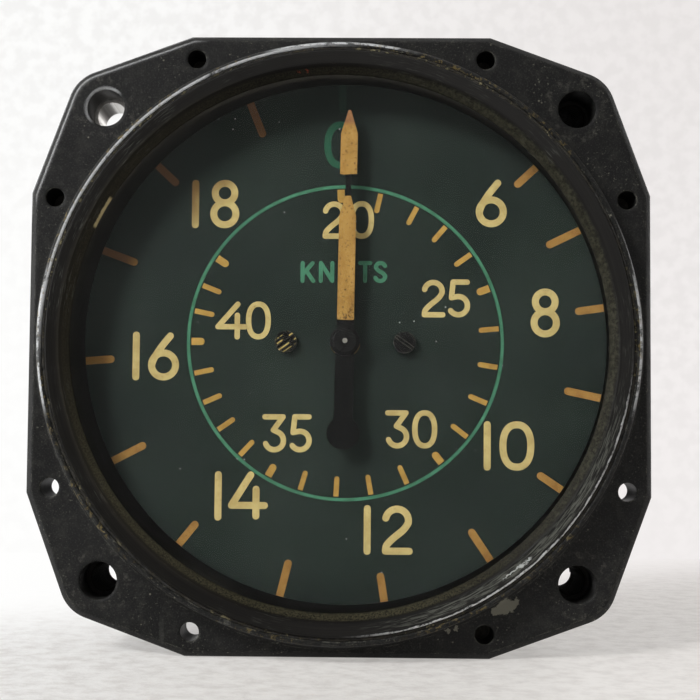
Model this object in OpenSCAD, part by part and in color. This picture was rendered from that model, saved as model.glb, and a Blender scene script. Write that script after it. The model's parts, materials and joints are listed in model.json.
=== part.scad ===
// Airspeed indicator for an instrument panel. A painted light alloy case carries a square flange, a
// glazed dial with one pointer, and a capsule movement that reads the difference between pitot and
// static pressure. Sizes are in millimetres. In the face frame x is to the right, y is up and z is
// towards the reader, with the origin at the middle of the flange's front face. face() stands it up,
// so that the dial looks along -Y.

/* [Flange] */
// Width across the flange's straight sides
flange_w = 82.55; // [81:0.05:88]
// Thickness of the flange
flange_t = 6.35; // [5:0.05:9]
// Bevel round the flange's edges
flange_edge = 0.8; // [0.3:0.1:1.4]
// Length of the straight part of each side
flat_len = 40; // [30:0.5:46]
// Radius of the lobe round each mounting hole
lobe_r = 5.3; // [5:0.1:7]
// Diameter of the circle through the mounting holes
mount_pcd = 88.9; // [87:0.1:92]
// Diameter of a mounting hole at the front
mount_hole_d = 5; // [4.6:0.1:5.6]
// Depth of the clear hole in front of the threaded bush
mount_hole_depth = 5; // [4:0.1:7]
// Depth of a corner boss, from the flange's face
boss_depth = 17.5; // [14:0.5:22]
// Depth of the upper left corner's boss, which is shorter
short_boss_depth = 10.5; // [9.5:0.1:13]
// Bore of a threaded bush
bush_bore_d = 4.1; // [3.9:0.1:4.5]
// Wall of a threaded bush
bush_wall = 1.5; // [1:0.1:1.8]
// Diameter of the small holes beside the corners
small_hole_d = 2.5; // [2:0.1:3]
// Distance of a small hole from the middle of its side
small_hole_side = 19.3; // [16:0.1:22]
// Distance of a small hole from the edge of its side
small_hole_edge = 3.25; // [2.5:0.05:3.4]

/* [Collar and window] */
// Diameter of the collar that stands in the panel's hole
collar_d = 78.6; // [78:0.1:80]
// Height of the collar above the flange
collar_h = 3.9; // [3:0.1:6]
// Wall of the collar
collar_wall = 0.75; // [0.6:0.05:1]
// Height of the glass seat above the flange's face
seat_z = 0.6; // [0:0.1:1]
// Thickness of the rubber ring under the glass
gasket_t = 0.6; // [0.4:0.1:1.2]
// Width of the rubber ring
gasket_w = 0.8; // [0.5:0.05:1]
// Thickness of the glass
glass_t = 2; // [1.5:0.1:3]
// Thickness of the bezel ring's lip over the glass
lip_t = 1.2; // [0.8:0.1:2]
// Width of the bezel ring's face, from the groove to its opening
lip_w = 3.05; // [2.5:0.05:4]
// Width of the sloped inner edge of the bezel ring
lip_slope_w = 1.2; // [0.6:0.1:1.6]
// Gap between the bezel ring and the collar
bezel_gap = 0.1; // [0.05:0.01:0.15]
// Width of the groove outside the bezel ring's face
groove_w = 0.5; // [0.2:0.05:0.6]

/* [Case] */
// Wall of the barrel behind the flange
case_wall = 2.4; // [2:0.1:3]
// Clear space between the dial's bore and the seat's edge
ledge_w = 2.05; // [1.6:0.05:2.4]
// Thickness of the back wall
back_wall = 4; // [3:0.1:6]
// Slope of the barrel's side
draft = 0.5; // [0:0.1:1]
// Radius of the barrel's back edge
back_round = 4.5; // [2:0.1:6]
// Height of the pads under the unions on the back
pad_h = 1; // [0.5:0.1:2]

/* [Dial] */
// Depth of the dial's face behind the flange's face
dial_drop = 2; // [1.6:0.1:4]
// Thickness of the dial
dial_t = 1.2; // [0.8:0.1:1.6]
// Sideways place of the movement from the case's middle
movement_right = 0.8; // [0:0.1:0.9]
// Upward place of the movement from the case's middle
movement_up = 0.3; // [0:0.1:0.8]
// Least gap between the dial and the case
dial_gap = 0.8; // [0.3:0.1:1]
// Depth of the engraved scale
scale_cut = 0.15; // [0.05:0.05:0.3]
// Middle radius of the engraved circle
circle_r = 20.97; // [18:0.1:23]
// Width of the engraved circle
circle_w = 0.55; // [0.3:0.05:0.9]
// Width of an outer mark
outer_mark_w = 1.05; // [0.6:0.05:1.4]
// Length of an outer mark with a number
outer_mark_short = 3.9; // [3:0.1:5]
// Length of an outer mark without a number
outer_mark_long = 5; // [4:0.1:6.5]
// Width of an inner mark
inner_mark_w = 0.72; // [0.5:0.02:1]
// Width of an inner mark with a number
inner_mark_wide = 1; // [0.7:0.05:1.4]
// Length of an inner mark
inner_mark_long = 2.7; // [2:0.1:3.5]
// Length of an inner mark with a number
inner_mark_short = 1.8; // [1.2:0.1:2.5]
// Distance of the dial's screws from its middle
dial_screw_x = 7.9; // [6.5:0.1:9]
// Radius of a dial screw's head
dial_screw_r = 1.45; // [1.2:0.05:1.8]

/* [Pointer] */
// Length of the pointer from its middle to its tip
pointer_len = 30.8; // [28:0.1:32]
// Length of the pointer's tail to the middle of its round weight
tail_len = 12.15; // [9:0.1:14]
// Width of the pointer's blades
blade_w = 2.25; // [1.6:0.05:3]
// Width of the neck between the blades
neck_w = 0.73; // [0.5:0.05:1]
// Width of the tail
tail_w = 2.5; // [1.6:0.1:3]
// Radius of the tail's round weight
tail_disc_r = 2.2; // [1.6:0.1:3]
// Thickness of the pointer
pointer_t = 0.4; // [0.3:0.05:0.6]
// Height of the pointer above the dial
pointer_lift = 1.7; // [1.5:0.1:1.9]
// Clockwise lean of the pointer at rest, in degrees
pointer_rest = 0.8; // [-2:0.1:2]
// Radius of the hub over the pointer
hub_r = 2; // [1.6:0.1:2.6]

/* [Movement] */
// Least gap between the movement's round plates and the case
plate_gap = 2.1; // [1.8:0.1:2.6]
// Thickness of the front and middle plates
plate_t = 1.6; // [1.2:0.1:2]
// Gap between the dial and the front plate
dial_post_len = 0.8; // [0.6:0.1:2]
// Gap between the front and middle plates
train_gap = 19.8; // [19:0.1:24]
// Gap between the middle plate and the capsule
rocker_gap = 14; // [13.5:0.1:18]
// Gap between the capsule and the base plate
stem_len = 11; // [10:0.1:14]
// Thickness of the base plate
base_t = 2; // [1.6:0.1:3]
// Distance of the pillars from the movement's middle
pillar_place = 29.5; // [29:0.1:30.2]
// Radius of a pillar
pillar_r = 2.2; // [1.9:0.1:2.3]
// Gap between a turning pivot and its bush
pivot_gap = 0.03; // [0.02:0.01:0.06]

/* [Gear train] */
// Size of a tooth, as pitch diameter over number of teeth
tooth_module = 0.5; // [0.46:0.01:0.52]
// Teeth of both pinions
pinion_teeth = 12; // [12:1:14]
// Teeth of the idler wheel
wheel_teeth = 60; // [56:1:62]
// Teeth on the sector's full circle
sector_teeth = 96; // [92:2:98]
// Play between teeth, along the pitch circle
backlash = 0.08; // [0.06:0.01:0.14]
// Turn of the pointer from zero to full scale, in degrees
pointer_travel = 663; // [600:1:680]

/* [Linkage] */
// Length of the sector's fork, from its arbor to the drive arm
fork_len = 10; // [9:0.1:11]
// Length of the drive arm, from the rocking shaft to the fork
drive_len = 14.75; // [14:0.05:15]
// Radius of the drive arm
drive_r = 0.8; // [0.6:0.05:1]
// Play in the fork and in the crank's slot, on each side
slot_play = 0.2; // [0.15:0.05:0.3]
// Radius of the boss's cross pin
boss_pin_r = 0.6; // [0.5:0.05:0.8]

/* [Capsule] */
// Radius of the capsule
capsule_r = 25; // [22:0.1:26]
// Height of the capsule at its middle
capsule_h = 9; // [8:0.1:10]
// Thickness of the capsule's sheet
sheet_t = 0.3; // [0.2:0.05:0.4]
// Height of a corrugation
wave_h = 0.5; // [0.3:0.05:0.7]
// Number of corrugations
wave_count = 4; // [3:1:5]

/* [Unions] */
// Distance of each union from the movement's middle
union_place = 16; // [15:0.1:16.5]
// Width across the flats of the unions and their nuts
union_flats = 14; // [13:0.1:14.5]
// Radius of a union's spigot
spigot_r = 5; // [4.5:0.1:5.4]
// Length of a union's spigot
spigot_len = 12; // [8:0.1:16]
// Radius of a union's bore
union_bore_r = 1.65; // [1.4:0.05:2]
// Radius of the capsule's pipe
pipe_r = 1.6; // [1.3:0.05:1.6]

/* [Hidden] */
$fn = 64;
eps = 0.01;

// Places of the front pieces, along z. Corners count anticlockwise from the upper right
mount_at = mount_pcd / 2 * sqrt(0.5);
boss_depths = [boss_depth, short_boss_depth, boss_depth, boss_depth];
small_hole_far = flange_w / 2 - small_hole_edge;
bush_r = bush_bore_d / 2 + bush_wall;
collar_r = collar_d / 2;
seat_r = collar_r - collar_wall;
bore_r = seat_r - ledge_w;
barrel_r = bore_r + case_wall;
gasket_top = seat_z + gasket_t;
glass_top = gasket_top + glass_t;
bezel_top = glass_top + lip_t;
bezel_r = seat_r - bezel_gap;
bezel_face_r = seat_r - groove_w;
skirt_wall = 0.95;
skirt_in_r = bezel_r - skirt_wall;
glass_r = skirt_in_r - 0.1;
gasket_r = glass_r;
skirt_bottom = seat_z + 0.1;

// Places of the movement, along z
dial_z = -dial_drop;
dial_back = dial_z - dial_t;
front_z = dial_back - dial_post_len;
front_back = front_z - plate_t;
middle_z = front_back - train_gap;
middle_back = middle_z - plate_t;
capsule_top = middle_back - rocker_gap;
capsule_mid = capsule_top - capsule_h / 2;
capsule_bottom = capsule_top - capsule_h;
base_z = capsule_bottom - stem_len;
pipe_z = capsule_bottom - pipe_r - 2.4;
base_back = base_z - base_t;
case_back = base_back - back_wall;
movement_off = norm([movement_right, movement_up]);
dial_r = bore_r - movement_off - dial_gap;
floor_r = bore_r + base_back * tan(draft);
plate_r = floor_r - movement_off - plate_gap;
pointer_z = dial_z + pointer_lift;
pointer_top = pointer_z + pointer_t;

// Gear train
pressure_angle = 20;
addendum = 0.7 * tooth_module;
dedendum = 0.95 * tooth_module;
pinion_r = tooth_module * pinion_teeth / 2;
wheel_r = tooth_module * wheel_teeth / 2;
sector_r = tooth_module * sector_teeth / 2;
idler_bearing = 135;
idler_at = polar(pinion_r + wheel_r, idler_bearing);
sector_bearing = 280;
sector_at = idler_at + polar(pinion_r + sector_r, sector_bearing);
idler_travel = pointer_travel * pinion_teeth / wheel_teeth;
sector_travel = idler_travel * pinion_teeth / sector_teeth;
rocker_travel = 2 * asin(fork_len * sin(sector_travel / 2) / drive_len);
wheel_z = front_back - 1.9;
wheel_t = 2;
spindle_pinion_t = 2.8;
spindle_pinion_z = wheel_z + 0.4;
idler_pinion_z = wheel_z - wheel_t - 2;
idler_pinion_t = 3;
sector_z = idler_pinion_z - 0.9;
sector_t = 1.2;

// Fasteners, bushes and hairspring
screw_r = 1.2;
screw_gap = 0.05;
screw_reach = 5 * screw_r;
dial_thread_r = screw_r - 0.2;
spindle_r = 0.6;
tip_r = 0.33;
arbor_r = 1;
bush_out_r = 2;
spring_turns = 5;
spring_t = 0.2;
spring_h = 0.8;
collet_r = 1.6;
collet_h = 2;
spring_r = 6.2;
spring_z = middle_z + 9.5;
stem_bore_r = 1.2;
stem_hole_r = 2.5;

// Rocking shaft and what it drives
shaft_r = 1;
pivot_r = 0.5;
ear_t = 1.2;
ear_w = 5;
shaft_drop = 6;
shaft_reach = 8;
drive_x = sector_at[0] + fork_len;
shaft_y = sector_at[1];
shaft_z = middle_back - shaft_drop;
fork_z = shaft_z + drive_len;
fork_t = 1.2;
crank_len = -shaft_y;
crank_travel = 2 * crank_len * tan(rocker_travel / 2);
boss_pin_z = shaft_z - crank_travel / 2;
bracket_head_r = 1.6 * screw_r;
bracket_clear = 0.3;
left_screw_x = sector_at[0] - bush_out_r - screw_r - bracket_clear;
shaft_left = left_screw_x - bracket_head_r - ear_t - bracket_clear;
shaft_right = drive_x + shaft_reach;
right_screw_x = shaft_right - ear_t - bracket_head_r - bracket_clear;

// Marks on the dial, in degrees clockwise from the top
outer_marks = [-1, 47, 64, 82, 102, 124, 146, 171, 194, 219, 242.5, 265.5, 290.5, 313, 338];
inner_marks = [
    -2, 13, 27.5, 40.5, 54.5, 69, 84.5, 99, 113, 127.5, 141, 156,
    170, 183, 196.5, 209.5, 222.5, 235, 246.5, 258, 270, 281.5, 291.5, 303
];
inner_numbered = [0, 5, 10, 15, 20, 23];

function polar(r, a) = [r * cos(a), r * sin(a)];
function corner_angle(i) = 45 + 90 * i;
function arc(r, a, b, n) = [for (i = [0 : n]) polar(r, a + (b - a) * i / n)];

// Angle in degrees that an involute has turned through at radius r
function involute(base_r, r) = r <= base_r ? 0
    : tan(acos(base_r / r)) * 180 / PI - acos(base_r / r);

// Half the angle of a tooth at radius r
function half_tooth(teeth, r) = let (
        pitch_r = tooth_module * teeth / 2,
        base_r = pitch_r * cos(pressure_angle),
        pitch_half = (PI * tooth_module / 2 - backlash / 2) / pitch_r * 90 / PI
    )
    pitch_half + involute(base_r, pitch_r) - involute(base_r, r);

// Outline of one tooth, from its right root to its left root, round the angle at
function tooth(teeth, at, steps = 4) = let (
        pitch_r = tooth_module * teeth / 2,
        base_r = pitch_r * cos(pressure_angle),
        tip_r = pitch_r + addendum,
        root_r = pitch_r - dedendum,
        low_r = max(base_r, root_r),
        radii = [for (i = [0 : steps]) low_r + (tip_r - low_r) * i / steps],
        root_half = half_tooth(teeth, low_r)
    )
    concat(
        [polar(root_r, at - root_half)],
        [for (r = radii) polar(r, at - half_tooth(teeth, r))],
        [for (i = [steps : -1 : 0]) polar(radii[i], at + half_tooth(teeth, radii[i]))],
        [polar(root_r, at + root_half)]
    );

// Outline of a whole gear with a tooth at the angle first
function gear(teeth, first) =
    [for (k = [0 : teeth - 1]) each tooth(teeth, first + k * 360 / teeth)];

// Stands the face frame up, with the dial looking along -Y
module face() {
    rotate([90, 0, 0]) children();
}

// The face frame moved to the movement's own middle
module movement() {
    face() translate([movement_right, movement_up, 0]) children();
}

module at(xy, z = 0) {
    translate([xy[0], xy[1], z]) children();
}

module corners() {
    for (sx = [-1, 1]) {
        for (sy = [-1, 1]) {
            translate([sx * mount_at, sy * mount_at, 0]) children();
        }
    }
}

module pillars() {
    for (a = [0 : 90 : 270]) {
        at(polar(pillar_place, a)) children();
    }
}

module unions() {
    for (s = [-1, 1]) {
        translate([s * union_place, 0, 0]) children();
    }
}

// A straight pin from z = from up to z = to
module pin(r, from, to) {
    translate([0, 0, from]) cylinder(r = r, h = to - from);
}

module tube(outer, inner, from, to) {
    difference() {
        pin(outer, from, to);
        pin(inner, from - 1, to + 1);
    }
}

module flange_outline(inset = 0) {
    hull() {
        corners() circle(r = lobe_r - inset);
        square([flat_len - inset, flange_w - 2 * inset], center = true);
        square([flange_w - 2 * inset, flat_len - inset], center = true);
    }
}

module flange() {
    hull() {
        translate([0, 0, -flange_edge]) linear_extrude(flange_edge) flange_outline(flange_edge);
        translate([0, 0, flange_edge - flange_t])
            linear_extrude(flange_t - 2 * flange_edge) flange_outline();
        translate([0, 0, -flange_t]) linear_extrude(flange_edge) flange_outline(flange_edge);
    }
}

// Boss behind the flange at corner i, with a web to the barrel
module corner_boss(i) {
    boss_r = lobe_r - 0.6;
    web_w = 1.7 * boss_r;
    web_in = bore_r + case_wall / 2;
    boss_h = boss_depths[i] - flange_t / 2;
    rotate([0, 0, corner_angle(i)]) translate([0, 0, -boss_depths[i]]) {
        translate([mount_pcd / 2, 0, 0]) cylinder(r = boss_r, h = boss_h);
        translate([web_in, -web_w / 2, 0]) cube([mount_pcd / 2 - web_in, web_w, boss_h]);
    }
}

module case_outside() {
    back_r = barrel_r + case_back * tan(draft);
    foot = 0.9;
    crown = 0.3;
    rotate_extrude() polygon(concat(
        [
            [0, collar_h],
            [collar_r - crown, collar_h],
            [collar_r, collar_h - crown],
            [collar_r, foot],
            [collar_r + foot, 0],
            [collar_r + foot, -flange_t / 2],
            [barrel_r, -flange_t / 2]
        ],
        [for (p = arc(back_round, 0, -90, 6)) p + [back_r - back_round, case_back + back_round]],
        [[0, case_back]]
    ));
}

module case_inside() {
    rotate_extrude() polygon([
        [0, collar_h + 1],
        [seat_r, collar_h + 1],
        [seat_r, seat_z],
        [bore_r, seat_z],
        [bore_r, dial_back],
        [floor_r, base_back],
        [0, base_back]
    ]);
}

module case() {
    color("#26272a") face() difference() {
        union() {
            flange();
            case_outside();
            for (i = [0 : 3]) {
                corner_boss(i);
            }
            translate([movement_right, movement_up, 0])
                unions() pin(union_flats * 0.64, case_back - pad_h, case_back + 1);
        }
        case_inside();
        for (i = [0 : 3]) {
            at(polar(mount_pcd / 2, corner_angle(i))) {
                pin(mount_hole_d / 2, -mount_hole_depth - eps, 1);
                pin(bush_r, -boss_depths[i] - 1, -mount_hole_depth);
            }
        }
        for (sx = [-1, 1]) {
            for (sy = [-1, 1]) {
                translate([sx * small_hole_side, sy * small_hole_far, 0])
                    pin(small_hole_d / 2, -flange_t - 1, 1);
                translate([sx * small_hole_far, sy * small_hole_side, 0])
                    pin(small_hole_d / 2, -flange_t - 1, 1);
            }
        }
        translate([movement_right, movement_up, 0]) {
            pillars() pin(screw_r + 0.2, case_back - 1, base_back + 1);
            unions() pin(spigot_r + 0.1, case_back - pad_h - 1, base_back + 1);
        }
    }
}

module mounting_bushes() {
    color("#b9b2a0") face() for (i = [0 : 3]) {
        at(polar(mount_pcd / 2, corner_angle(i)))
            tube(bush_r, bush_bore_d / 2, -boss_depths[i], -mount_hole_depth);
    }
}

module bezel_ring() {
    rim = 0.2;
    sight_r = bezel_face_r - lip_w;
    color("#3b3a38") face() rotate_extrude() polygon([
        [bezel_r, skirt_bottom],
        [bezel_r, glass_top - 0.3],
        [bezel_face_r, glass_top],
        [bezel_face_r, bezel_top - rim],
        [bezel_face_r - rim, bezel_top],
        [sight_r + lip_slope_w, bezel_top],
        [sight_r, glass_top + 0.15],
        [sight_r, glass_top],
        [skirt_in_r, glass_top],
        [skirt_in_r, skirt_bottom]
    ]);
}

module window_glass() {
    color("#dfe8e6", 0.3) face() pin(glass_r, gasket_top, glass_top);
}

module glass_gasket() {
    color("#1a1a1a") face() tube(gasket_r, gasket_r - gasket_w, seat_z, gasket_top);
}

// A mark from the outer radius inwards, with a round inner end, at a clockwise angle
module mark(outer, length, width, angle) {
    rotate([0, 0, -angle]) {
        translate([-width / 2, outer - length + width / 2]) square([width, length - width / 2]);
        translate([0, outer - length + width / 2]) circle(d = width);
    }
}

module dial() {
    cut_z = dial_z - scale_cut;
    inner_r = circle_r - circle_w / 2;
    color("#2b312f") movement() difference() {
        pin(dial_r, dial_back, dial_z);
        pin(hub_r, dial_back - 1, dial_z + 1);
        dial_screw_places() pin(dial_thread_r + screw_gap, dial_back - 1, dial_z + 1);
        tube(circle_r + circle_w / 2, inner_r, cut_z, dial_z + 1);
        translate([0, 0, cut_z]) linear_extrude(1) {
            for (i = [0 : len(outer_marks) - 1]) {
                length = i > 0 && i % 2 == 0 ? outer_mark_long : outer_mark_short;
                mark(dial_r + 1, 1 + length, outer_mark_w, outer_marks[i]);
            }
        }
        translate([0, 0, cut_z]) linear_extrude(1) {
            for (i = [0 : len(inner_marks) - 1]) {
                numbered = len(search(i, inner_numbered)) > 0;
                mark(
                    inner_r - 0.1,
                    numbered ? inner_mark_short : inner_mark_long,
                    numbered ? inner_mark_wide : inner_mark_w,
                    inner_marks[i]
                );
            }
        }
    }
}

module dial_screw_places() {
    for (s = [-1, 1]) {
        translate([s * dial_screw_x, 0, 0]) children();
    }
}

// Slotted screw with its head above z = seat and its thread below
module slotted_screw(head_r, head_h, thread_r, length, seat, slot_angle) {
    difference() {
        pin(head_r, seat, seat + head_h);
        translate([0, 0, seat + head_h * 0.55]) rotate([0, 0, slot_angle])
            translate([-head_r - 1, -head_r * 0.14, 0]) cube([2 * head_r + 2, head_r * 0.28, head_h]);
    }
    pin(thread_r, seat - length, seat + head_h / 4);
}

module dial_screws() {
    thread_len = dial_t + dial_post_len + plate_t;
    color("#8d7a4c") movement() for (s = [-1, 1]) {
        translate([s * dial_screw_x, 0, 0])
            slotted_screw(dial_screw_r, 0.9, dial_thread_r, thread_len, dial_z, s * -35);
    }
}

module dial_posts() {
    color("#b08d57") movement() dial_screw_places()
        tube(dial_screw_r + 0.6, dial_thread_r + screw_gap, front_z, dial_back);
}

module pointer() {
    half = blade_w / 2;
    neck = neck_w / 2;
    outer_root = pointer_len - 8.6;
    inner_tip = pointer_len - 11.4;
    color("#c2954c") movement() rotate([0, 0, -pointer_rest]) difference() {
        translate([0, 0, pointer_z]) linear_extrude(pointer_t) {
            polygon([
                [-half, 0], [-half, inner_tip - 2.8], [-neck, inner_tip], [-neck, outer_root],
                [-half, outer_root], [-half, pointer_len - 3.1], [-neck / 2, pointer_len],
                [neck / 2, pointer_len], [half, pointer_len - 3.1], [half, outer_root],
                [neck, outer_root], [neck, inner_tip], [half, inner_tip - 2.8], [half, 0]
            ]);
            translate([-tail_w / 2, -tail_len]) square([tail_w, tail_len]);
            translate([0, -tail_len]) circle(r = tail_disc_r);
            circle(r = hub_r);
        }
        pin(spindle_r, pointer_z - 1, pointer_top + 1);
    }
}

module pointer_hub() {
    hub_h = 0.7;
    color("#1d1d1e") movement() rotate_extrude() polygon([
        [tip_r, pointer_top],
        [hub_r, pointer_top],
        [hub_r, pointer_top + 0.3],
        [hub_r - 0.5, pointer_top + hub_h],
        [tip_r, pointer_top + hub_h]
    ]);
}

module spindle() {
    shoulder = middle_z + 0.3;
    color("#b8954f") movement() {
        pin(tip_r, shoulder, pointer_top + 0.85);
        pin(spindle_r, shoulder, pointer_top);
        pin(pivot_r, middle_back + 0.1, spindle_pinion_z);
        translate([0, 0, spindle_pinion_z - spindle_pinion_t])
            linear_extrude(spindle_pinion_t) polygon(gear(pinion_teeth, idler_bearing));
    }
}

function spring_point(turn, side) = let (
        start_r = collet_r + spring_t / 2,
        r = start_r + (spring_r - start_r) * turn / spring_turns
    )
    polar(r + side * spring_t / 2, 360 * turn);

module hairspring() {
    step = 1 / 20;
    color("#6d7480") movement() translate([0, 0, spring_z]) linear_extrude(spring_h) polygon(concat(
        [for (t = [0 : step : spring_turns + eps]) spring_point(t, -1)],
        [for (t = [spring_turns : -step : -eps]) spring_point(t, 1)]
    ));
}

module hairspring_collet() {
    middle = spring_z + spring_h / 2;
    color("#b08d57") movement() tube(collet_r, spindle_r, middle - collet_h / 2, middle + collet_h / 2);
}

module hairspring_stud() {
    stud_w = 1.4;
    color("#b08d57") movement() translate([spring_r - stud_w / 2, 0, middle_z])
        cube([stud_w, stud_w, spring_z + spring_h - middle_z]);
}

module plate(from, thick) {
    pin(plate_r, from - thick, from);
}

// Holes for the three upright pivots' bushes
module train_bush_places() {
    children();
    at(idler_at) children();
    at(sector_at) children();
}

module front_plate() {
    color("#b59a5e") movement() difference() {
        plate(front_z, plate_t);
        train_bush_places() pin(bush_out_r, front_back - 1, front_z + 1);
        pillars() pin(screw_r + screw_gap, front_back - 1, front_z + 1);
        dial_screw_places() pin(dial_thread_r + screw_gap, front_back - 1, front_z + 1);
        for (a = [30, 330]) {
            at(polar(19, a)) pin(7, front_back - 1, front_z + 1);
        }
    }
}

module middle_plate() {
    color("#b59a5e") movement() difference() {
        plate(middle_z, plate_t);
        train_bush_places() pin(bush_out_r, middle_back - 1, middle_z + 1);
        pillars() pin(screw_r + screw_gap, middle_back - 1, middle_z + 1);
        drive_window(middle_back - 1, middle_z + 1);
        bracket_screw_places() pin(screw_r + screw_gap, middle_back - 1, middle_z + 1);
        for (a = [30, 330]) {
            at(polar(19, a)) pin(7, middle_back - 1, middle_z + 1);
        }
    }
}

// Opening that lets the drive arm swing
module drive_window(from, to) {
    window_w = 4;
    window_h = 6;
    translate([drive_x - window_w / 2, shaft_y - window_h / 2, from]) cube([window_w, window_h, to - from]);
}

module base_plate() {
    color("#b59a5e") movement() difference() {
        plate(base_z, base_t);
        pillars() pin(screw_r + screw_gap, base_back - 1, base_z + 1);
        unions() pin(spigot_r + 0.1, base_back - 1, base_z + 1);
        pin(stem_hole_r, base_back - 1, base_z + 1);
    }
}

module front_pillars() {
    color("#b08d57") movement() pillars() tube(pillar_r, screw_r + screw_gap, middle_z, front_back);
}

// Each rear pillar has a stud that goes through the middle plate into the front pillar
module rear_pillars() {
    stud_len = plate_t + screw_reach;
    color("#b08d57") movement() pillars() {
        difference() {
            pin(pillar_r, base_z, middle_back);
            pin(screw_r + screw_gap, base_z - 1, base_z + 1.5 * screw_reach);
        }
        pin(screw_r, middle_back - 1, middle_back + stud_len);
    }
}

module pillar_screws() {
    color("#8d8f92") movement() pillars()
        slotted_screw(1.75 * screw_r, 0.6 * screw_r, screw_r, plate_t + screw_reach, front_z, 20);
}

module rear_screws() {
    thread_len = back_wall + base_t + screw_reach;
    color("#8d8f92") movement() pillars() mirror([0, 0, 1])
        slotted_screw(2.15 * screw_r, 1.5 * screw_r, screw_r, thread_len, -case_back, 40);
}

module pivot_bushes() {
    color("#a8323e") movement() {
        tube(bush_out_r, spindle_r + pivot_gap, front_back, front_z);
        tube(bush_out_r, pivot_r + pivot_gap, middle_back, middle_z);
        for (p = [idler_at, sector_at]) {
            at(p) tube(bush_out_r, pivot_r + pivot_gap, front_back, front_z);
            at(p) tube(bush_out_r, pivot_r + pivot_gap, middle_back, middle_z);
        }
    }
}

// Upright arbor between the front and middle plates
module upright_arbor() {
    end_gap = 0.3;
    pin(arbor_r, middle_z + end_gap, front_back - end_gap);
    pin(pivot_r, middle_back + 0.1, front_z - 0.1);
}

module idler_arbor() {
    color("#9c9da0") movement() at(idler_at) {
        upright_arbor();
        translate([0, 0, idler_pinion_z - idler_pinion_t])
            linear_extrude(idler_pinion_t) polygon(gear(pinion_teeth, sector_bearing));
    }
}

module idler_wheel() {
    spoke_hole_r = wheel_r * 0.24;
    gap_at = idler_bearing + 180 + 180 / wheel_teeth;
    color("#c0a05c") movement() at(idler_at, wheel_z - wheel_t) difference() {
        linear_extrude(wheel_t) polygon(gear(wheel_teeth, gap_at));
        pin(arbor_r, -1, wheel_t + 1);
        for (a = [0 : 72 : 288]) {
            at(polar(wheel_r * 0.58, a)) pin(spoke_hole_r, -1, wheel_t + 1);
        }
    }
}

module sector_arbor() {
    color("#9c9da0") movement() at(sector_at) upright_arbor();
}

module sector() {
    pitch = 360 / sector_teeth;
    mesh_at = sector_bearing - 180;
    margin = 2;
    last = ceil(sector_travel / pitch) + margin;
    rim_r = sector_r - dedendum - 2;
    from = mesh_at - (margin + 0.5) * pitch;
    to = mesh_at + (last + 0.5) * pitch;
    spoke_w = 1.8;
    color("#c0a05c") movement() at(sector_at, sector_z - sector_t) difference() {
        linear_extrude(sector_t) {
            polygon(concat(
                [for (k = [-margin : last - 1]) each tooth(sector_teeth, mesh_at + (k + 0.5) * pitch)],
                arc(rim_r, to, from, 8)
            ));
            for (a = [from + 4, to - 4]) {
                rotate([0, 0, a]) translate([0, -spoke_w / 2]) square([rim_r + 0.5, spoke_w]);
            }
            rotate([0, 0, (from + to) / 2 + 180]) translate([0, -spoke_w / 2]) square([8, spoke_w]);
            rotate([0, 0, (from + to) / 2 + 180]) translate([8, 0]) circle(r = 2.4);
            circle(r = 3);
        }
        pin(arbor_r, -1, sector_t + 1);
    }
}

module sector_weight() {
    pitch = 360 / sector_teeth;
    middle = sector_bearing + (ceil(sector_travel / pitch) * pitch) / 2;
    color("#8f8f8a") movement() at(sector_at + polar(8, middle), sector_z) pin(2.4, 0, 2.5);
}

module sector_fork() {
    slot_w = 2 * (drive_r + slot_play);
    tine = 1.1;
    reach = fork_len + drive_r + 1.2;
    color("#c0a05c") movement() at(sector_at, fork_z - fork_t / 2) rotate([0, 0, sector_travel / 2])
        difference() {
            linear_extrude(fork_t) {
                translate([0, -slot_w / 2 - tine]) square([reach, slot_w + 2 * tine]);
                circle(r = 3);
            }
            translate([fork_len - drive_r - 0.8, -slot_w / 2, -1]) cube([reach, slot_w, fork_t + 2]);
            pin(arbor_r, -1, fork_t + 1);
        }
}

// The rocking shaft's frame: x along the shaft, y up and z to the front, leaning as it does at rest
module rocker() {
    movement() translate([0, shaft_y, shaft_z]) rotate([-rocker_travel / 2, 0, 0]) children();
}

// A pin along x
module cross_pin(r, from, to) {
    translate([from, 0, 0]) rotate([0, 90, 0]) cylinder(r = r, h = to - from);
}

module rocking_shaft() {
    end_gap = 0.2;
    color("#9c9da0") rocker() {
        cross_pin(shaft_r, shaft_left + ear_t + end_gap, shaft_right - ear_t - end_gap);
        cross_pin(pivot_r, shaft_left + 0.1, shaft_right - 0.1);
    }
}

module crank_arm() {
    arm_t = 1.2;
    arm_w = 3.2;
    reach = crank_len + 1.4;
    slot_w = 2 * (boss_pin_r + slot_play);
    color("#b08d57") rocker() difference() {
        union() {
            cross_pin(2.2, -arm_t / 2, arm_t / 2);
            translate([-arm_t / 2, 0, -arm_w / 2]) cube([arm_t, reach, arm_w]);
        }
        cross_pin(shaft_r, -arm_t, arm_t);
        translate([-arm_t, crank_len - 1.4, -slot_w / 2]) cube([2 * arm_t, reach, slot_w]);
    }
}

module drive_arm() {
    hub_w = 2.4;
    color("#b08d57") rocker() difference() {
        union() {
            cross_pin(2.2, drive_x - hub_w / 2, drive_x + hub_w / 2);
            translate([drive_x, 0, 0]) pin(drive_r, 0, drive_len + 1.2);
        }
        cross_pin(shaft_r, drive_x - hub_w, drive_x + hub_w);
    }
}

module bracket_screw_places() {
    for (x = [left_screw_x, right_screw_x]) {
        translate([x, shaft_y, 0]) children();
    }
}

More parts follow.
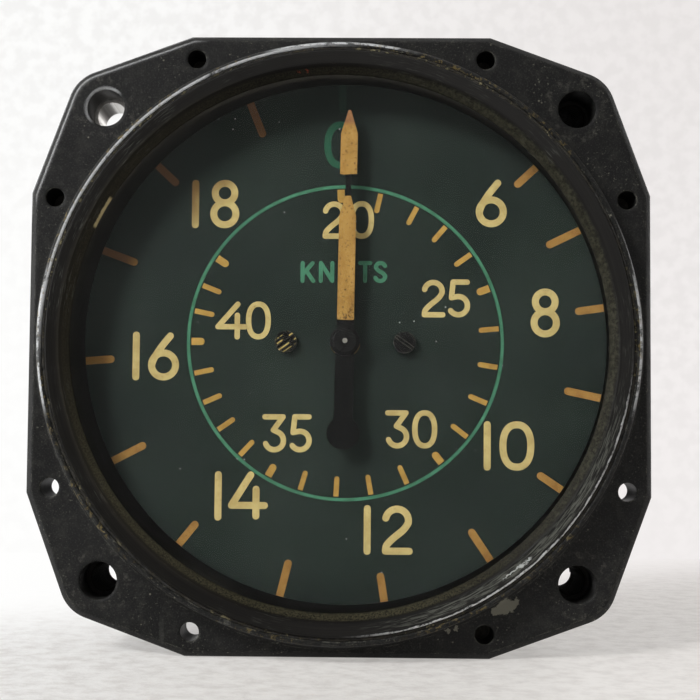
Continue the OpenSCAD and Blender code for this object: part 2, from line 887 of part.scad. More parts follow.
// Bridge on the back of the middle plate, with an ear at each end for the rocking shaft
module rocker_bracket() {
    foot_h = 1.6 * ear_w;
    ear_len = shaft_drop + ear_w / 2;
    color("#b59a5e") movement() difference() {
        union() {
            translate([shaft_left, shaft_y - foot_h / 2, middle_back - ear_t])
                cube([shaft_right - shaft_left, foot_h, ear_t]);
            for (x = [shaft_left, shaft_right - ear_t]) {
                translate([x, shaft_y - ear_w / 2, middle_back - ear_len]) cube([ear_t, ear_w, ear_len]);
            }
        }
        drive_window(middle_back - ear_t - 1, middle_back + 1);
        bracket_screw_places() pin(screw_r + screw_gap, middle_back - ear_t - 1, middle_back + 1);
        translate([0, shaft_y, shaft_z]) cross_pin(pivot_r + pivot_gap, shaft_left - 1, shaft_right + 1);
    }
}

module bracket_screws() {
    color("#8d8f92") movement() bracket_screw_places() mirror([0, 0, 1])
        slotted_screw(bracket_head_r, 0.85 * screw_r, screw_r, ear_t + plate_t, ear_t - middle_back, 10);
}

// Height of a capsule sheet's outer side over the capsule's middle plane
function sheet(r) = let (
        rim_w = 1.5,
        flat_r = 5,
        s = min(1, max(0, (r - flat_r) / (capsule_r - rim_w - flat_r))),
        wave = wave_h * pow(sin(180 * wave_count * s), 2)
    )
    sheet_t + (capsule_h / 2 - sheet_t) * (1 - s * s) + (s > 0 && s < 1 ? wave * (1 - s) : 0);

module capsule_sheet(hole_r) {
    steps = 36;
    radii = [for (i = [0 : steps]) hole_r + (capsule_r - hole_r) * i / steps];
    rotate_extrude() polygon(concat(
        [for (r = radii) [r, sheet(r)]],
        [for (i = [steps : -1 : 0]) [radii[i], sheet(radii[i]) - sheet_t]]
    ));
}

module capsule_front() {
    color("#c9a25a") movement() translate([0, 0, capsule_mid]) capsule_sheet(0);
}

module capsule_back() {
    color("#c9a25a") movement() translate([0, 0, capsule_mid]) mirror([0, 0, 1]) capsule_sheet(stem_bore_r);
}

// Fork on the capsule's front that carries the cross pin
module capsule_boss() {
    cheek_r = 2.6;
    slot_w = 1.9;
    slot_bottom = boss_pin_z - 2.4;
    color("#b08d57") movement() difference() {
        union() {
            pin(4, capsule_top, capsule_top + 1);
            pin(cheek_r, capsule_top, boss_pin_z + 1.4);
        }
        translate([-slot_w / 2, -cheek_r - 1, slot_bottom]) cube([slot_w, 2 * cheek_r + 2, 9]);
        translate([0, 0, boss_pin_z]) cross_pin(boss_pin_r, -cheek_r - 1, cheek_r + 1);
    }
}

module boss_pin() {
    color("#9c9da0") movement() translate([0, 0, boss_pin_z]) cross_pin(boss_pin_r, -2.8, 2.8);
}

module capsule_stem() {
    stem_r = pipe_r + 1.4;
    stem_foot_r = stem_r + 2;
    color("#b08d57") movement() difference() {
        union() {
            pin(stem_foot_r, capsule_bottom - 1, capsule_bottom);
            pin(stem_r, base_z, capsule_bottom);
            pin(stem_foot_r, base_z, base_z + 1.5);
            pin(stem_hole_r, base_back, base_z + 1);
        }
        pin(stem_bore_r, pipe_z, capsule_bottom + 1);
        translate([0, 0, pipe_z]) cross_pin(pipe_r, -stem_r - 1, -stem_bore_r);
        translate([0, 0, pipe_z]) cross_pin(stem_bore_r - 0.2, -stem_bore_r - 0.1, 0);
    }
}

module capsule_pipe() {
    pipe_bore_r = pipe_r - 0.5;
    inlet = base_z + 1;
    color("#b87a4b") movement() difference() {
        union() {
            translate([-union_place, 0, 0]) pin(pipe_r, inlet, pipe_z);
            translate([-union_place, 0, pipe_z]) sphere(r = pipe_r);
            translate([0, 0, pipe_z]) cross_pin(pipe_r, -union_place, -stem_bore_r);
        }
        translate([-union_place, 0, 0]) pin(pipe_bore_r, inlet - 1, pipe_z);
        translate([-union_place, 0, pipe_z]) sphere(r = pipe_bore_r);
        translate([0, 0, pipe_z]) cross_pin(pipe_bore_r, -union_place, 0);
    }
}

function hexagon(flats) = [for (a = [30 : 60 : 330]) polar(flats / sqrt(3), a)];

washer_t = 1;
nut_t = 3.5;
hex_t = 5;
hex_top = case_back - pad_h - washer_t;

module pressure_union() {
    groove_r = spigot_r - 0.6;
    spigot_end = hex_top - hex_t - spigot_len;
    difference() {
        union() {
            translate([0, 0, hex_top - hex_t]) linear_extrude(hex_t) polygon(hexagon(union_flats));
            pin(spigot_r, hex_top, base_z + nut_t + 0.5);
            pin(groove_r, spigot_end + 1, base_z);
            pin(spigot_r, spigot_end + 0.6, hex_top - hex_t - 1.5);
            translate([0, 0, spigot_end]) cylinder(r1 = spigot_r - 0.6, r2 = spigot_r, h = 0.6);
        }
        pin(union_bore_r, spigot_end - 1, base_z + nut_t + 2);
        translate([0, 0, spigot_end - eps]) cylinder(r1 = union_bore_r + 1.4, r2 = union_bore_r, h = 2);
    }
}

module pitot_union() {
    color("#b08d57") movement() translate([-union_place, 0, 0]) pressure_union();
}

module static_union() {
    color("#b08d57") movement() translate([union_place, 0, 0]) pressure_union();
}

module union_washers() {
    washer_r = union_flats * 0.56;
    color("#7a3b2a") movement() unions() tube(washer_r, spigot_r + 0.05, hex_top, case_back - pad_h);
}

module union_nuts() {
    color("#b08d57") movement() unions() difference() {
        translate([0, 0, base_z]) linear_extrude(nut_t) polygon(hexagon(union_flats));
        pin(spigot_r, base_z - 1, base_z + nut_t + 1);
    }
}

case();
mounting_bushes();
bezel_ring();
window_glass();
glass_gasket();
dial();
dial_screws();
dial_posts();
pointer();
pointer_hub();
spindle();
hairspring();
hairspring_collet();
hairspring_stud();
front_plate();
middle_plate();
base_plate();
front_pillars();
rear_pillars();
pillar_screws();
rear_screws();
pivot_bushes();
idler_arbor();
idler_wheel();
sector_arbor();
sector();
sector_fork();
sector_weight();
rocking_shaft();
crank_arm();
drive_arm();
rocker_bracket();
bracket_screws();
capsule_front();
capsule_back();
capsule_boss();
boss_pin();
capsule_stem();
capsule_pipe();
pitot_union();
static_union();
union_washers();
union_nuts();
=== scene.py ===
"""Airspeed indicator: materials, painted scale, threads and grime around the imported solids.

Face frame, in millimetres: x right, y up, z towards the reader, origin at the middle of the flange's
front face. on_world() turns it into Blender's metres.
"""
import json
import math
import random

import bmesh
import bpy
from mathutils import Matrix, Vector


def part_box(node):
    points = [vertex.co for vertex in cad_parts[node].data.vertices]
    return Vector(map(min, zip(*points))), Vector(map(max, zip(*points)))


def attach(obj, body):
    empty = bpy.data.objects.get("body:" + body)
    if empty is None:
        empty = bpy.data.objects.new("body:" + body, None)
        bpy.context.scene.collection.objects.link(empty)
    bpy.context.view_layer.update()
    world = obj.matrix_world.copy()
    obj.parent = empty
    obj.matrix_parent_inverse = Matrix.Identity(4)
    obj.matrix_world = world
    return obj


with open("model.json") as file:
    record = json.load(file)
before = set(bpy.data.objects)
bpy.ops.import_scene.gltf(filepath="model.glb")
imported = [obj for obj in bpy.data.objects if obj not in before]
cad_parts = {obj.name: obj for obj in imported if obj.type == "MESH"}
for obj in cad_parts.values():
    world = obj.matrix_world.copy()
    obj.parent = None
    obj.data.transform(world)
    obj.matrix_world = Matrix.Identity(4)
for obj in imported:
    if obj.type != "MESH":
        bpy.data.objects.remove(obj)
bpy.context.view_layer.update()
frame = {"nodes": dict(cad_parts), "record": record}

MM = 0.001
IMAGE_SIDE = 700.0

# Places of the CAD pieces, in the face frame
GLASS_TOP = 3.2
DIAL_Z = -2.0
SCALE_CUT = 0.15
POINTER_LEAN = math.radians(0.8)
MOUNT_AT = 88.9 / 2 * math.sqrt(0.5)
BUSH_FRONT = -5.0
PLAIN_BUSH = (-1, 1)
THREADED_BUSHES = [(1, 1), (-1, -1), (1, -1)]
BUSH_BACK = -17.5
BUSH_BORE_R = 2.05
HOLE_R = 1.25
HOLE_SIDE = 19.3
HOLE_FAR = 38.025
# Small holes closed deep down by plugs that stand in for their shade
PLUGGED_HOLES = [
    (-HOLE_SIDE, HOLE_FAR), (HOLE_SIDE, HOLE_FAR), (-HOLE_FAR, HOLE_SIDE),
    (HOLE_FAR, HOLE_SIDE), (HOLE_SIDE, -HOLE_FAR),
]
GROOVE_IN_R = 38.05
GROOVE_OUT_R = 38.55

dial_low, dial_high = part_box("dial")
DIAL_X = (dial_low.x + dial_high.x) / 2 / MM
DIAL_Y = (dial_low.z + dial_high.z) / 2 / MM
DIAL_R = (dial_high.x - dial_low.x) / 2 / MM

# Marks on the dial, in degrees clockwise from the top
OUTER_MARKS = [-1, 47, 64, 82, 102, 124, 146, 171, 194, 219, 242.5, 265.5, 290.5, 313, 338]
INNER_MARKS = [
    -2, 13, 27.5, 40.5, 54.5, 69, 84.5, 99, 113, 127.5, 141, 156,
    170, 183, 196.5, 209.5, 222.5, 235, 246.5, 258, 270, 281.5, 291.5, 303,
]
INNER_NUMBERED = [0, 5, 10, 15, 20, 23]
OUTER_MARK_W = 1.05
OUTER_MARK_SHORT = 3.9
OUTER_MARK_LONG = 5.0
INNER_MARK_W = 0.72
INNER_MARK_WIDE = 1.0
INNER_MARK_LONG = 2.7
INNER_MARK_SHORT = 1.8
INNER_MARK_GAP = 0.1
CIRCLE_R = 20.97
CIRCLE_W = 0.55
CIRCLE_STEPS = 180

# Paint fills the recessed marks and circle, a little inside their walls, and the figures lie on the dial
MARK_INSET = 0.02
CIRCLE_INSET = 0.06
MARK_LOW = DIAL_Z - SCALE_CUT + 0.01
MARK_TOP = DIAL_Z + 0.02
FIGURE_LOW = DIAL_Z - 0.05
FIGURE_TOP = DIAL_Z + 0.03
NEXT_STROKE = 0.004

# Figures: stroke sign, left edge and base line of its centre line, from the dial's middle
OUTER_FIGURE_H = 5.62
OUTER_STROKE = 0.93
OUTER_FIGURES = [
    ("6", 17.84, 16.07),
    ("8", 25.22, 1.31),
    ("1", 18.99, -16.48),
    ("0", 21.07, -16.46),
    ("1", 3.12, -27.74),
    ("2", 5.44, -27.71),
    ("1", -16.74, -23.41),
    ("4", -14.95, -23.40),
    ("1", -27.97, -4.83),
    ("6", -25.89, -4.81),
    ("1", -20.27, 15.72),
    ("8", -17.78, 15.74),
]
INNER_FIGURE_H = 4.38
INNER_STROKE = 0.72
INNER_FIGURES = [
    ("2", -2.87, 14.28),
    ("slim0", 0.77, 14.30),
    ("2", 10.47, 3.78),
    ("5", 13.95, 3.80),
    ("3", 5.77, -13.76),
    ("slim0", 9.37, -13.73),
    ("3", -10.61, -14.41),
    ("5", -7.06, -14.38),
    ("open4", -17.04, 0.64),
    ("slim0", -12.95, 0.67),
]
ZERO_FIGURE_H = 5.49
ZERO_FIGURE = [("0", -2.55, 23.90)]
WORD_H = 2.4
WORD_STROKE = 0.55
WORD = [
    ("K", -5.78, 8.23),
    ("N", -3.33, 8.25),
    ("O", -0.75, 8.26),
    ("T", 1.93, 8.28),
    ("S", 3.98, 8.29),
]


def on_world(x, y, z):
    """A point of the face frame, in Blender's metres."""
    return (x * MM, -z * MM, y * MM)


# ---------------------------------------------------------------- strokes


def arc(cx, cy, r, start, end, steps):
    """Points on a circle's arc, angles in degrees."""
    points = []
    for i in range(steps + 1):
        a = math.radians(start + (end - start) * i / steps)
        points.append((cx + r * math.cos(a), cy + r * math.sin(a)))
    return points


def loop(cx, cy, r):
    """Points of a closed circle, without the first one again."""
    return arc(cx, cy, r, 0, 352.5, 48)


def oval(half_w, power=2.3, steps=40):
    """A closed upright oval one unit high, a little fuller than an ellipse, with its left edge at x = 0."""
    points = []
    for i in range(steps):
        a = 2 * math.pi * i / steps
        c, s = math.cos(a), math.sin(a)
        x = math.copysign(abs(c) ** (2 / power), c)
        y = math.copysign(abs(s) ** (2 / power), s)
        points.append((half_w + half_w * x, 0.5 + 0.5 * y))
    return points


def smooth(points, steps=6):
    """A smooth curve through the points."""
    out = []
    last = len(points) - 1
    for i in range(last):
        p0 = points[max(i - 1, 0)]
        p1 = points[i]
        p2 = points[i + 1]
        p3 = points[min(i + 2, last)]
        for k in range(steps):
            t = k / steps
            out.append(tuple(
                0.5 * (2 * p1[j] + (p2[j] - p0[j]) * t
                       + (2 * p0[j] - 5 * p1[j] + 4 * p2[j] - p3[j]) * t * t
                       + (3 * p1[j] - p0[j] - 3 * p2[j] + p3[j]) * t ** 3)
                for j in (0, 1)
            ))
    out.append(points[last])
    return out


# Signs of straight strokes only
STRAIGHT = {
    "1": [[(0, 0), (0, 1)]],
    "4": [[(0.45, 1), (0, 0.28), (0.78, 0.28)], [(0.58, 0.66), (0.58, 0.03)]],
    "open4": [[(0.60, 1), (0, 0.31), (0.82, 0.31)], [(0.59, 0.66), (0.59, 0)]],
    "K": [[(0, 0), (0, 1)], [(0.56, 1), (0.04, 0.40)], [(0.20, 0.58), (0.60, 0)]],
    "N": [[(0, 0), (0, 1), (0.64, 0), (0.64, 1)]],
    "T": [[(0, 1), (0.56, 1)], [(0.28, 1), (0.28, 0)]],
}


def glyph(sign):
    """Centre lines of a sign one unit high: a list of (points, closed)."""
    if sign in STRAIGHT:
        return [(line, False) for line in STRAIGHT[sign]]
    if sign in ("0", "O"):
        return [(oval(0.33), True)]
    if sign == "slim0":
        return [(oval(0.30), True)]
    if sign == "2":
        hook = arc(0.29, 0.72, 0.27, 168, -12, 18)
        tail = smooth([hook[-1], (0.44, 0.50), (0.20, 0.30), (0.05, 0.14), (0.02, 0)])
        return [(hook + tail[1:] + [(0.58, 0)], False)]
    if sign == "3":
        bowl = arc(0.29, 0.28, 0.28, 96, -160, 24)
        return [([(0, 1), (0.55, 1), (0.26, 0.60)] + bowl[2:], False)]
    if sign == "5":
        bowl = arc(0.26, 0.28, 0.28, 126, -146, 24)
        return [([(0.53, 1), (0.10, 1), (0.05, 0.52)] + bowl[2:], False)]
    if sign == "6":
        stem = smooth([(0.44, 0.98), (0.22, 0.70), (0.06, 0.44), (0.0, 0.27)])
        return [(loop(0.287, 0.287, 0.287), True), (stem, False)]
    if sign == "8":
        return [(loop(0.26, 0.265, 0.265), True), (loop(0.26, 0.765, 0.235), True)]
    if sign == "S":
        return [(smooth([
            (0.54, 0.84), (0.40, 0.98), (0.16, 0.97), (0.03, 0.78), (0.18, 0.57),
            (0.42, 0.43), (0.55, 0.23), (0.40, 0.02), (0.14, 0.02), (0.0, 0.17),
        ]), False)]
    raise ValueError(sign)


def unit(ax, ay, bx, by):
    """Direction from a to b."""
    length = math.hypot(bx - ax, by - ay)
    return ((bx - ax) / length, (by - ay) / length)


def fan(p, r, start, end, steps):
    """Points on an arc round p, between two angles in radians."""
    return [
        (p[0] + r * math.cos(start + (end - start) * i / steps),
         p[1] + r * math.sin(start + (end - start) * i / steps))
        for i in range(steps + 1)
    ]


SHARP_TURN = math.radians(22)
CORNER_STEPS = 6
END_STEPS = 10


def stroke_outline(points, width):
    """Outline of a pen line with round ends and round outer corners."""
    half = width / 2
    dirs = [unit(*points[i], *points[i + 1]) for i in range(len(points) - 1)]
    left, right = [], []
    for i in range(1, len(points) - 1):
        d0, d1 = dirs[i - 1], dirs[i]
        turn = math.atan2(d0[0] * d1[1] - d0[1] * d1[0], d0[0] * d1[0] + d0[1] * d1[1])
        a0 = math.atan2(d0[0], -d0[1])
        p = points[i]
        reach = half / math.cos(turn / 2)
        mid = a0 + turn / 2
        inner_left = (p[0] + reach * math.cos(mid), p[1] + reach * math.sin(mid))
        inner_right = (p[0] - reach * math.cos(mid), p[1] - reach * math.sin(mid))
        if abs(turn) < SHARP_TURN:
            left.append(inner_left)
            right.append(inner_right)
        elif turn > 0:
            left.append(inner_left)
            right.extend(fan(p, half, a0 + math.pi, a0 + math.pi + turn, CORNER_STEPS))
        else:
            left.extend(fan(p, half, a0, a0 + turn, CORNER_STEPS))
            right.append(inner_right)
    end = math.atan2(dirs[-1][0], -dirs[-1][1])
    start = math.atan2(dirs[0][0], -dirs[0][1])
    cap = fan(points[-1], half, end, end - math.pi, END_STEPS)
    tail = fan(points[0], half, start + math.pi, start, END_STEPS)
    return left + cap + right[::-1] + tail


def ring_outlines(points, width):
    """Outer and inner outline of a closed pen line that runs anticlockwise."""
    half = width / 2
    outer, inner = [], []
    n = len(points)
    for i in range(n):
        d0 = unit(*points[i - 1], *points[i])
        d1 = unit(*points[i], *points[(i + 1) % n])
        nx, ny = d0[1] + d1[1], -d0[0] - d1[0]
        length = math.hypot(nx, ny)
        nx, ny = nx / length, ny / length
        outer.append((points[i][0] + half * nx, points[i][1] + half * ny))
        inner.append((points[i][0] - half * nx, points[i][1] - half * ny))
    return outer, inner


# ---------------------------------------------------------------- pieces


class Solid:
    """Collects closed shells, in the face frame."""

    def __init__(self):
        self.points = []
        self.faces = []

    def prism(self, outline, low, high):
        """An outline drawn out between two heights."""
        n = len(outline)
        base = len(self.points)
        self.points += [(x, y, low) for x, y in outline]
        self.points += [(x, y, high) for x, y in outline]
        self.faces.append([base + i for i in range(n)])
        self.faces.append([base + n + i for i in range(n)])
        for i in range(n):
            k = (i + 1) % n
            self.faces.append([base + i, base + k, base + n + k, base + n + i])

    def band(self, outer, inner, low, high):
        """A ring between two outlines of equal count."""
        n = len(outer)
        base = len(self.points)
        for outline, z in ((outer, low), (inner, low), (inner, high), (outer, high)):
            self.points += [(x, y, z) for x, y in outline]
        for row in range(4):
            a = base + row * n
            b = base + (row + 1) % 4 * n
            for i in range(n):
                k = (i + 1) % n
                self.faces.append([a + i, a + k, b + k, b + i])

    def tube(self, sections, closed):
        """Skin over equal loops of points, closed on itself or capped at both ends."""
        n = len(sections[0])
        base = len(self.points)
        for section in sections:
            self.points += section
        count = len(sections)
        for s in range(count if closed else count - 1):
            a = base + s * n
            b = base + (s + 1) % count * n
            for i in range(n):
                k = (i + 1) % n
                self.faces.append([a + i, a + k, b + k, b + i])
        if not closed:
            self.faces.append([base + i for i in range(n)])
            self.faces.append([base + (count - 1) * n + i for i in range(n)])

    def piece(self, name, material, body, slot):
        """Makes the shells one Blender object that rides on a body."""
        mesh = bpy.data.meshes.new(name)
        mesh.from_pydata([on_world(*p) for p in self.points], [], self.faces)
        shell = bmesh.new()
        shell.from_mesh(mesh)
        bmesh.ops.triangulate(shell, faces=[f for f in shell.faces if len(f.verts) > 4])
        bmesh.ops.recalc_face_normals(shell, faces=shell.faces)
        shell.to_mesh(mesh)
        shell.free()
        mesh.materials.append(material)
        piece = bpy.data.objects.new(name, mesh)
        bpy.context.scene.collection.objects.link(piece)
        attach(piece, body)


def figures(solid, table, height, width):
    """Adds painted figures that stand a hair above the dial."""
    for sign, left, base in table:
        for k, (line, closed) in enumerate(glyph(sign)):
            points = [(DIAL_X + left + x * height, DIAL_Y + base + y * height) for x, y in line]
            high = FIGURE_TOP + NEXT_STROKE * k
            if closed:
                outer, inner = ring_outlines(points, width)
                solid.band(outer, inner, FIGURE_LOW, high)
            else:
                solid.prism(stroke_outline(points, width), FIGURE_LOW, high)


def mark_outline(outer_r, length, width, angle):
    """A mark from its outer radius inwards, with a round inner end."""
    half = width / 2
    foot = outer_r - length + half
    points = [(half, outer_r), (-half, outer_r)] + fan((0, foot), half, math.pi, 2 * math.pi, END_STEPS)
    a = math.radians(-angle)
    c, s = math.cos(a), math.sin(a)
    return [(DIAL_X + x * c - y * s, DIAL_Y + x * s + y * c) for x, y in points]


def add_mark(solid, outer_r, length, width, angle):
    """Paint in a mark's recess."""
    inset = 2 * MARK_INSET
    outline = mark_outline(outer_r - MARK_INSET, length - inset, width - inset, angle)
    solid.prism(outline, MARK_LOW, MARK_TOP)


def add_outer_mark(solid, index):
    long_mark = index > 0 and index % 2 == 0
    length = OUTER_MARK_LONG if long_mark else OUTER_MARK_SHORT
    add_mark(solid, DIAL_R, length, OUTER_MARK_W, OUTER_MARKS[index])


def add_inner_mark(solid, index):
    numbered = index in INNER_NUMBERED
    length = INNER_MARK_SHORT if numbered else INNER_MARK_LONG
    width = INNER_MARK_WIDE if numbered else INNER_MARK_W
    outer_r = CIRCLE_R - CIRCLE_W / 2 - INNER_MARK_GAP
    add_mark(solid, outer_r, length, width, INNER_MARKS[index])


def dial_circle(radius):
    return [(DIAL_X + x, DIAL_Y + y) for x, y in fan((0, 0), radius, 0, 2 * math.pi, CIRCLE_STEPS)[:-1]]


def build_scale(materials):
    """Paint in the marks and the circle, the figures and the word for the unit."""
    marks = Solid()
    for i in range(1, len(OUTER_MARKS)):
        add_outer_mark(marks, i)
    marks.piece("outer_marks", materials["mark"], "case", "dial_paint")

    marks = Solid()
    for i in range(len(INNER_MARKS)):
        add_inner_mark(marks, i)
    marks.piece("inner_marks", materials["inner_mark"], "case", "dial_paint")

    green = Solid()
    half = CIRCLE_W / 2 - CIRCLE_INSET
    green.band(dial_circle(CIRCLE_R + half), dial_circle(CIRCLE_R - half), MARK_LOW, MARK_TOP)
    green.piece("green_circle", materials["green"], "case", "dial_paint")

    zero = Solid()
    add_outer_mark(zero, 0)
    figures(zero, ZERO_FIGURE, ZERO_FIGURE_H, OUTER_STROKE)
    zero.piece("zero_figure", materials["zero"], "case", "dial_paint")

    for name, paint, table, height, width in (
        ("unit_word", "green", WORD, WORD_H, WORD_STROKE),
        ("outer_figures", "cream", OUTER_FIGURES, OUTER_FIGURE_H, OUTER_STROKE),
        ("inner_figures", "cream", INNER_FIGURES, INNER_FIGURE_H, INNER_STROKE),
    ):
        signs = Solid()
        figures(signs, table, height, width)
        signs.piece(name, materials[paint], "case", "dial_paint")


CLEARANCE = 0.01
CRUST_STATIONS = 540
CRUST_WAVES = 26
CRUST_TOP = 3.86
CRUST_LUMP = 0.10
CRUST_HALF_RIDGE = 0.10
CRUST_OUT_FOOT = 3.05
CRUST_IN_FOOT = 3.25


def build_crust(material):
    """Old sealant and dirt in the groove between the collar and the bezel ring."""
    rng = random.Random(11)
    waves = [
        (rng.randint(3, 90), rng.uniform(0, 2 * math.pi), rng.uniform(0.3, 1.0)) for _ in range(CRUST_WAVES)
    ]
    sections = []
    for i in range(CRUST_STATIONS):
        a = 2 * math.pi * i / CRUST_STATIONS
        lump = sum(w * math.sin(k * a + p) for k, p, w in waves) / 6
        top = CRUST_TOP + CRUST_LUMP * lump + rng.uniform(-0.05, 0.05)
        mid = (GROOVE_IN_R + GROOVE_OUT_R) / 2 + 0.05 * math.sin(17 * a) + rng.uniform(-0.04, 0.04)
        profile = [
            (GROOVE_OUT_R - CLEARANCE, CRUST_OUT_FOOT),
            (GROOVE_OUT_R - CLEARANCE, top - 0.12 + rng.uniform(-0.05, 0.05)),
            (mid + CRUST_HALF_RIDGE, top),
            (mid - CRUST_HALF_RIDGE, top - rng.uniform(0.0, 0.08)),
            (GROOVE_IN_R + CLEARANCE, top - 0.16 + rng.uniform(-0.06, 0.06)),
            (GROOVE_IN_R + CLEARANCE, CRUST_IN_FOOT),
        ]
        sections.append([(r * math.cos(a), r * math.sin(a), z) for r, z in profile])
    crust = Solid()
    crust.tube(sections, True)
    crust.piece("groove_sealant", material, "case", "rubber")


# Radius and height of each plug's rings, from the middle of its back to the middle of its front
PLUG_RINGS = [
    (0.3, -6.2), (1.0, -6.1), (HOLE_R - CLEARANCE, -5.7),
    (HOLE_R - CLEARANCE, -4.9), (0.9, -5.2), (0.3, -5.4),
]
PLUG_SIDES = 24
PLUG_LUMP = 0.12


def build_shade_plugs(material):
    """Grey plugs at the bottom of some of the small holes, put in for the shade of their depth."""
    rng = random.Random(5)
    plugs = Solid()
    for cx, cy in PLUGGED_HOLES:
        sections = []
        for r, z in PLUG_RINGS:
            section = []
            for i in range(PLUG_SIDES):
                a = 2 * math.pi * i / PLUG_SIDES
                lump = rng.uniform(-PLUG_LUMP, PLUG_LUMP)
                section.append((cx + r * math.cos(a), cy + r * math.sin(a), z + lump))
            sections.append(section)
        plugs.tube(sections, False)
    plugs.piece("hole_shade_plugs", material, "case", "rubber")


# Threads: pitch, and radius at the root and at the crest
BUSH_PITCH = 0.8
BUSH_ROOT_R = BUSH_BORE_R + 0.02
BUSH_CREST_R = BUSH_BORE_R - 0.2
BUSH_STEPS = 24
UNION_PITCH = 1.2
UNION_ROOT_R = 4.95
UNION_CREST_R = 5.28
UNION_STEPS = 48
UNION_THREAD_FROM = 0.9
UNION_THREAD_TO = 11.2


def helix(solid, cx, cy, root_r, crest_r, low, high, pitch, steps):
    """A screw thread's ridge, from its root to its crest."""
    half = pitch * 0.42
    turns = (high - low - 2 * half) / pitch
    count = int(turns * steps)
    sections = []
    for i in range(count + 1):
        a = 2 * math.pi * i / steps
        z = low + half + pitch * i / steps
        c, s = math.cos(a), math.sin(a)
        sections.append([
            (cx + root_r * c, cy + root_r * s, z - half),
            (cx + crest_r * c, cy + crest_r * s, z - half * 0.15),
            (cx + crest_r * c, cy + crest_r * s, z + half * 0.15),
            (cx + root_r * c, cy + root_r * s, z + half),
        ])
    solid.tube(sections, False)


def build_threads(materials):
    """Threads in three of the bushes and on both unions."""
    threads = Solid()
    for sx, sy in THREADED_BUSHES:
        helix(
            threads, sx * MOUNT_AT, sy * MOUNT_AT, BUSH_ROOT_R, BUSH_CREST_R,
            BUSH_BACK, BUSH_FRONT, BUSH_PITCH, BUSH_STEPS,
        )
    threads.piece("bush_threads", materials["bush"], "case", "bush_metal")
    for name in ("pitot_union", "static_union"):
        low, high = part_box(name)
        cx = (low.x + high.x) / 2 / MM
        cy = (low.z + high.z) / 2 / MM
        end = -high.y / MM
        ridge = Solid()
        helix(
            ridge, cx, cy, UNION_ROOT_R, UNION_CREST_R,
            end + UNION_THREAD_FROM, end + UNION_THREAD_TO, UNION_PITCH, UNION_STEPS,
        )
        ridge.piece(name + "_thread", materials["brass"], "case", "brass")


# ---------------------------------------------------------------- materials


class Nodes:
    """A node tree with short calls for the usual nodes."""

    def __init__(self, tree):
        self.tree = tree

    def add(self, kind):
        return self.tree.nodes.new("ShaderNode" + kind)

    def link(self, source, socket):
        self.tree.links.new(source, socket)

    def put(self, value, socket):
        """Links a node's output, or sets a plain value."""
        if isinstance(value, bpy.types.NodeSocket):
            self.link(value, socket)
        else:
            socket.default_value = value

    def math(self, operation, a, b=0.0, clamp=False):
        node = self.add("Math")
        node.operation = operation
        node.use_clamp = clamp
        self.put(a, node.inputs[0])
        self.put(b, node.inputs[1])
        return node.outputs[0]

    def plus(self, a, b):
        return self.math("ADD", a, b)

    def minus(self, a, b):
        return self.math("SUBTRACT", a, b)

    def larger(self, a, b):
        return self.math("MAXIMUM", a, b)

    def times(self, product, *factors):
        for factor in factors:
            product = self.math("MULTIPLY", product, factor)
        return product

    def mix_shaders(self, factor, first, second):
        """Goes from the first shader to the second as the factor goes from 0 to 1."""
        node = self.add("MixShader")
        self.link(factor, node.inputs["Fac"])
        self.link(first, node.inputs[1])
        self.link(second, node.inputs[2])
        return node.outputs["Shader"]

    def pale_rays(self, path):
        """One for the rays that show a pale background: to the camera, in gloss and through glass."""
        seen = self.larger(path["Is Camera Ray"], path["Is Glossy Ray"])
        return self.larger(seen, path["Is Transmission Ray"])


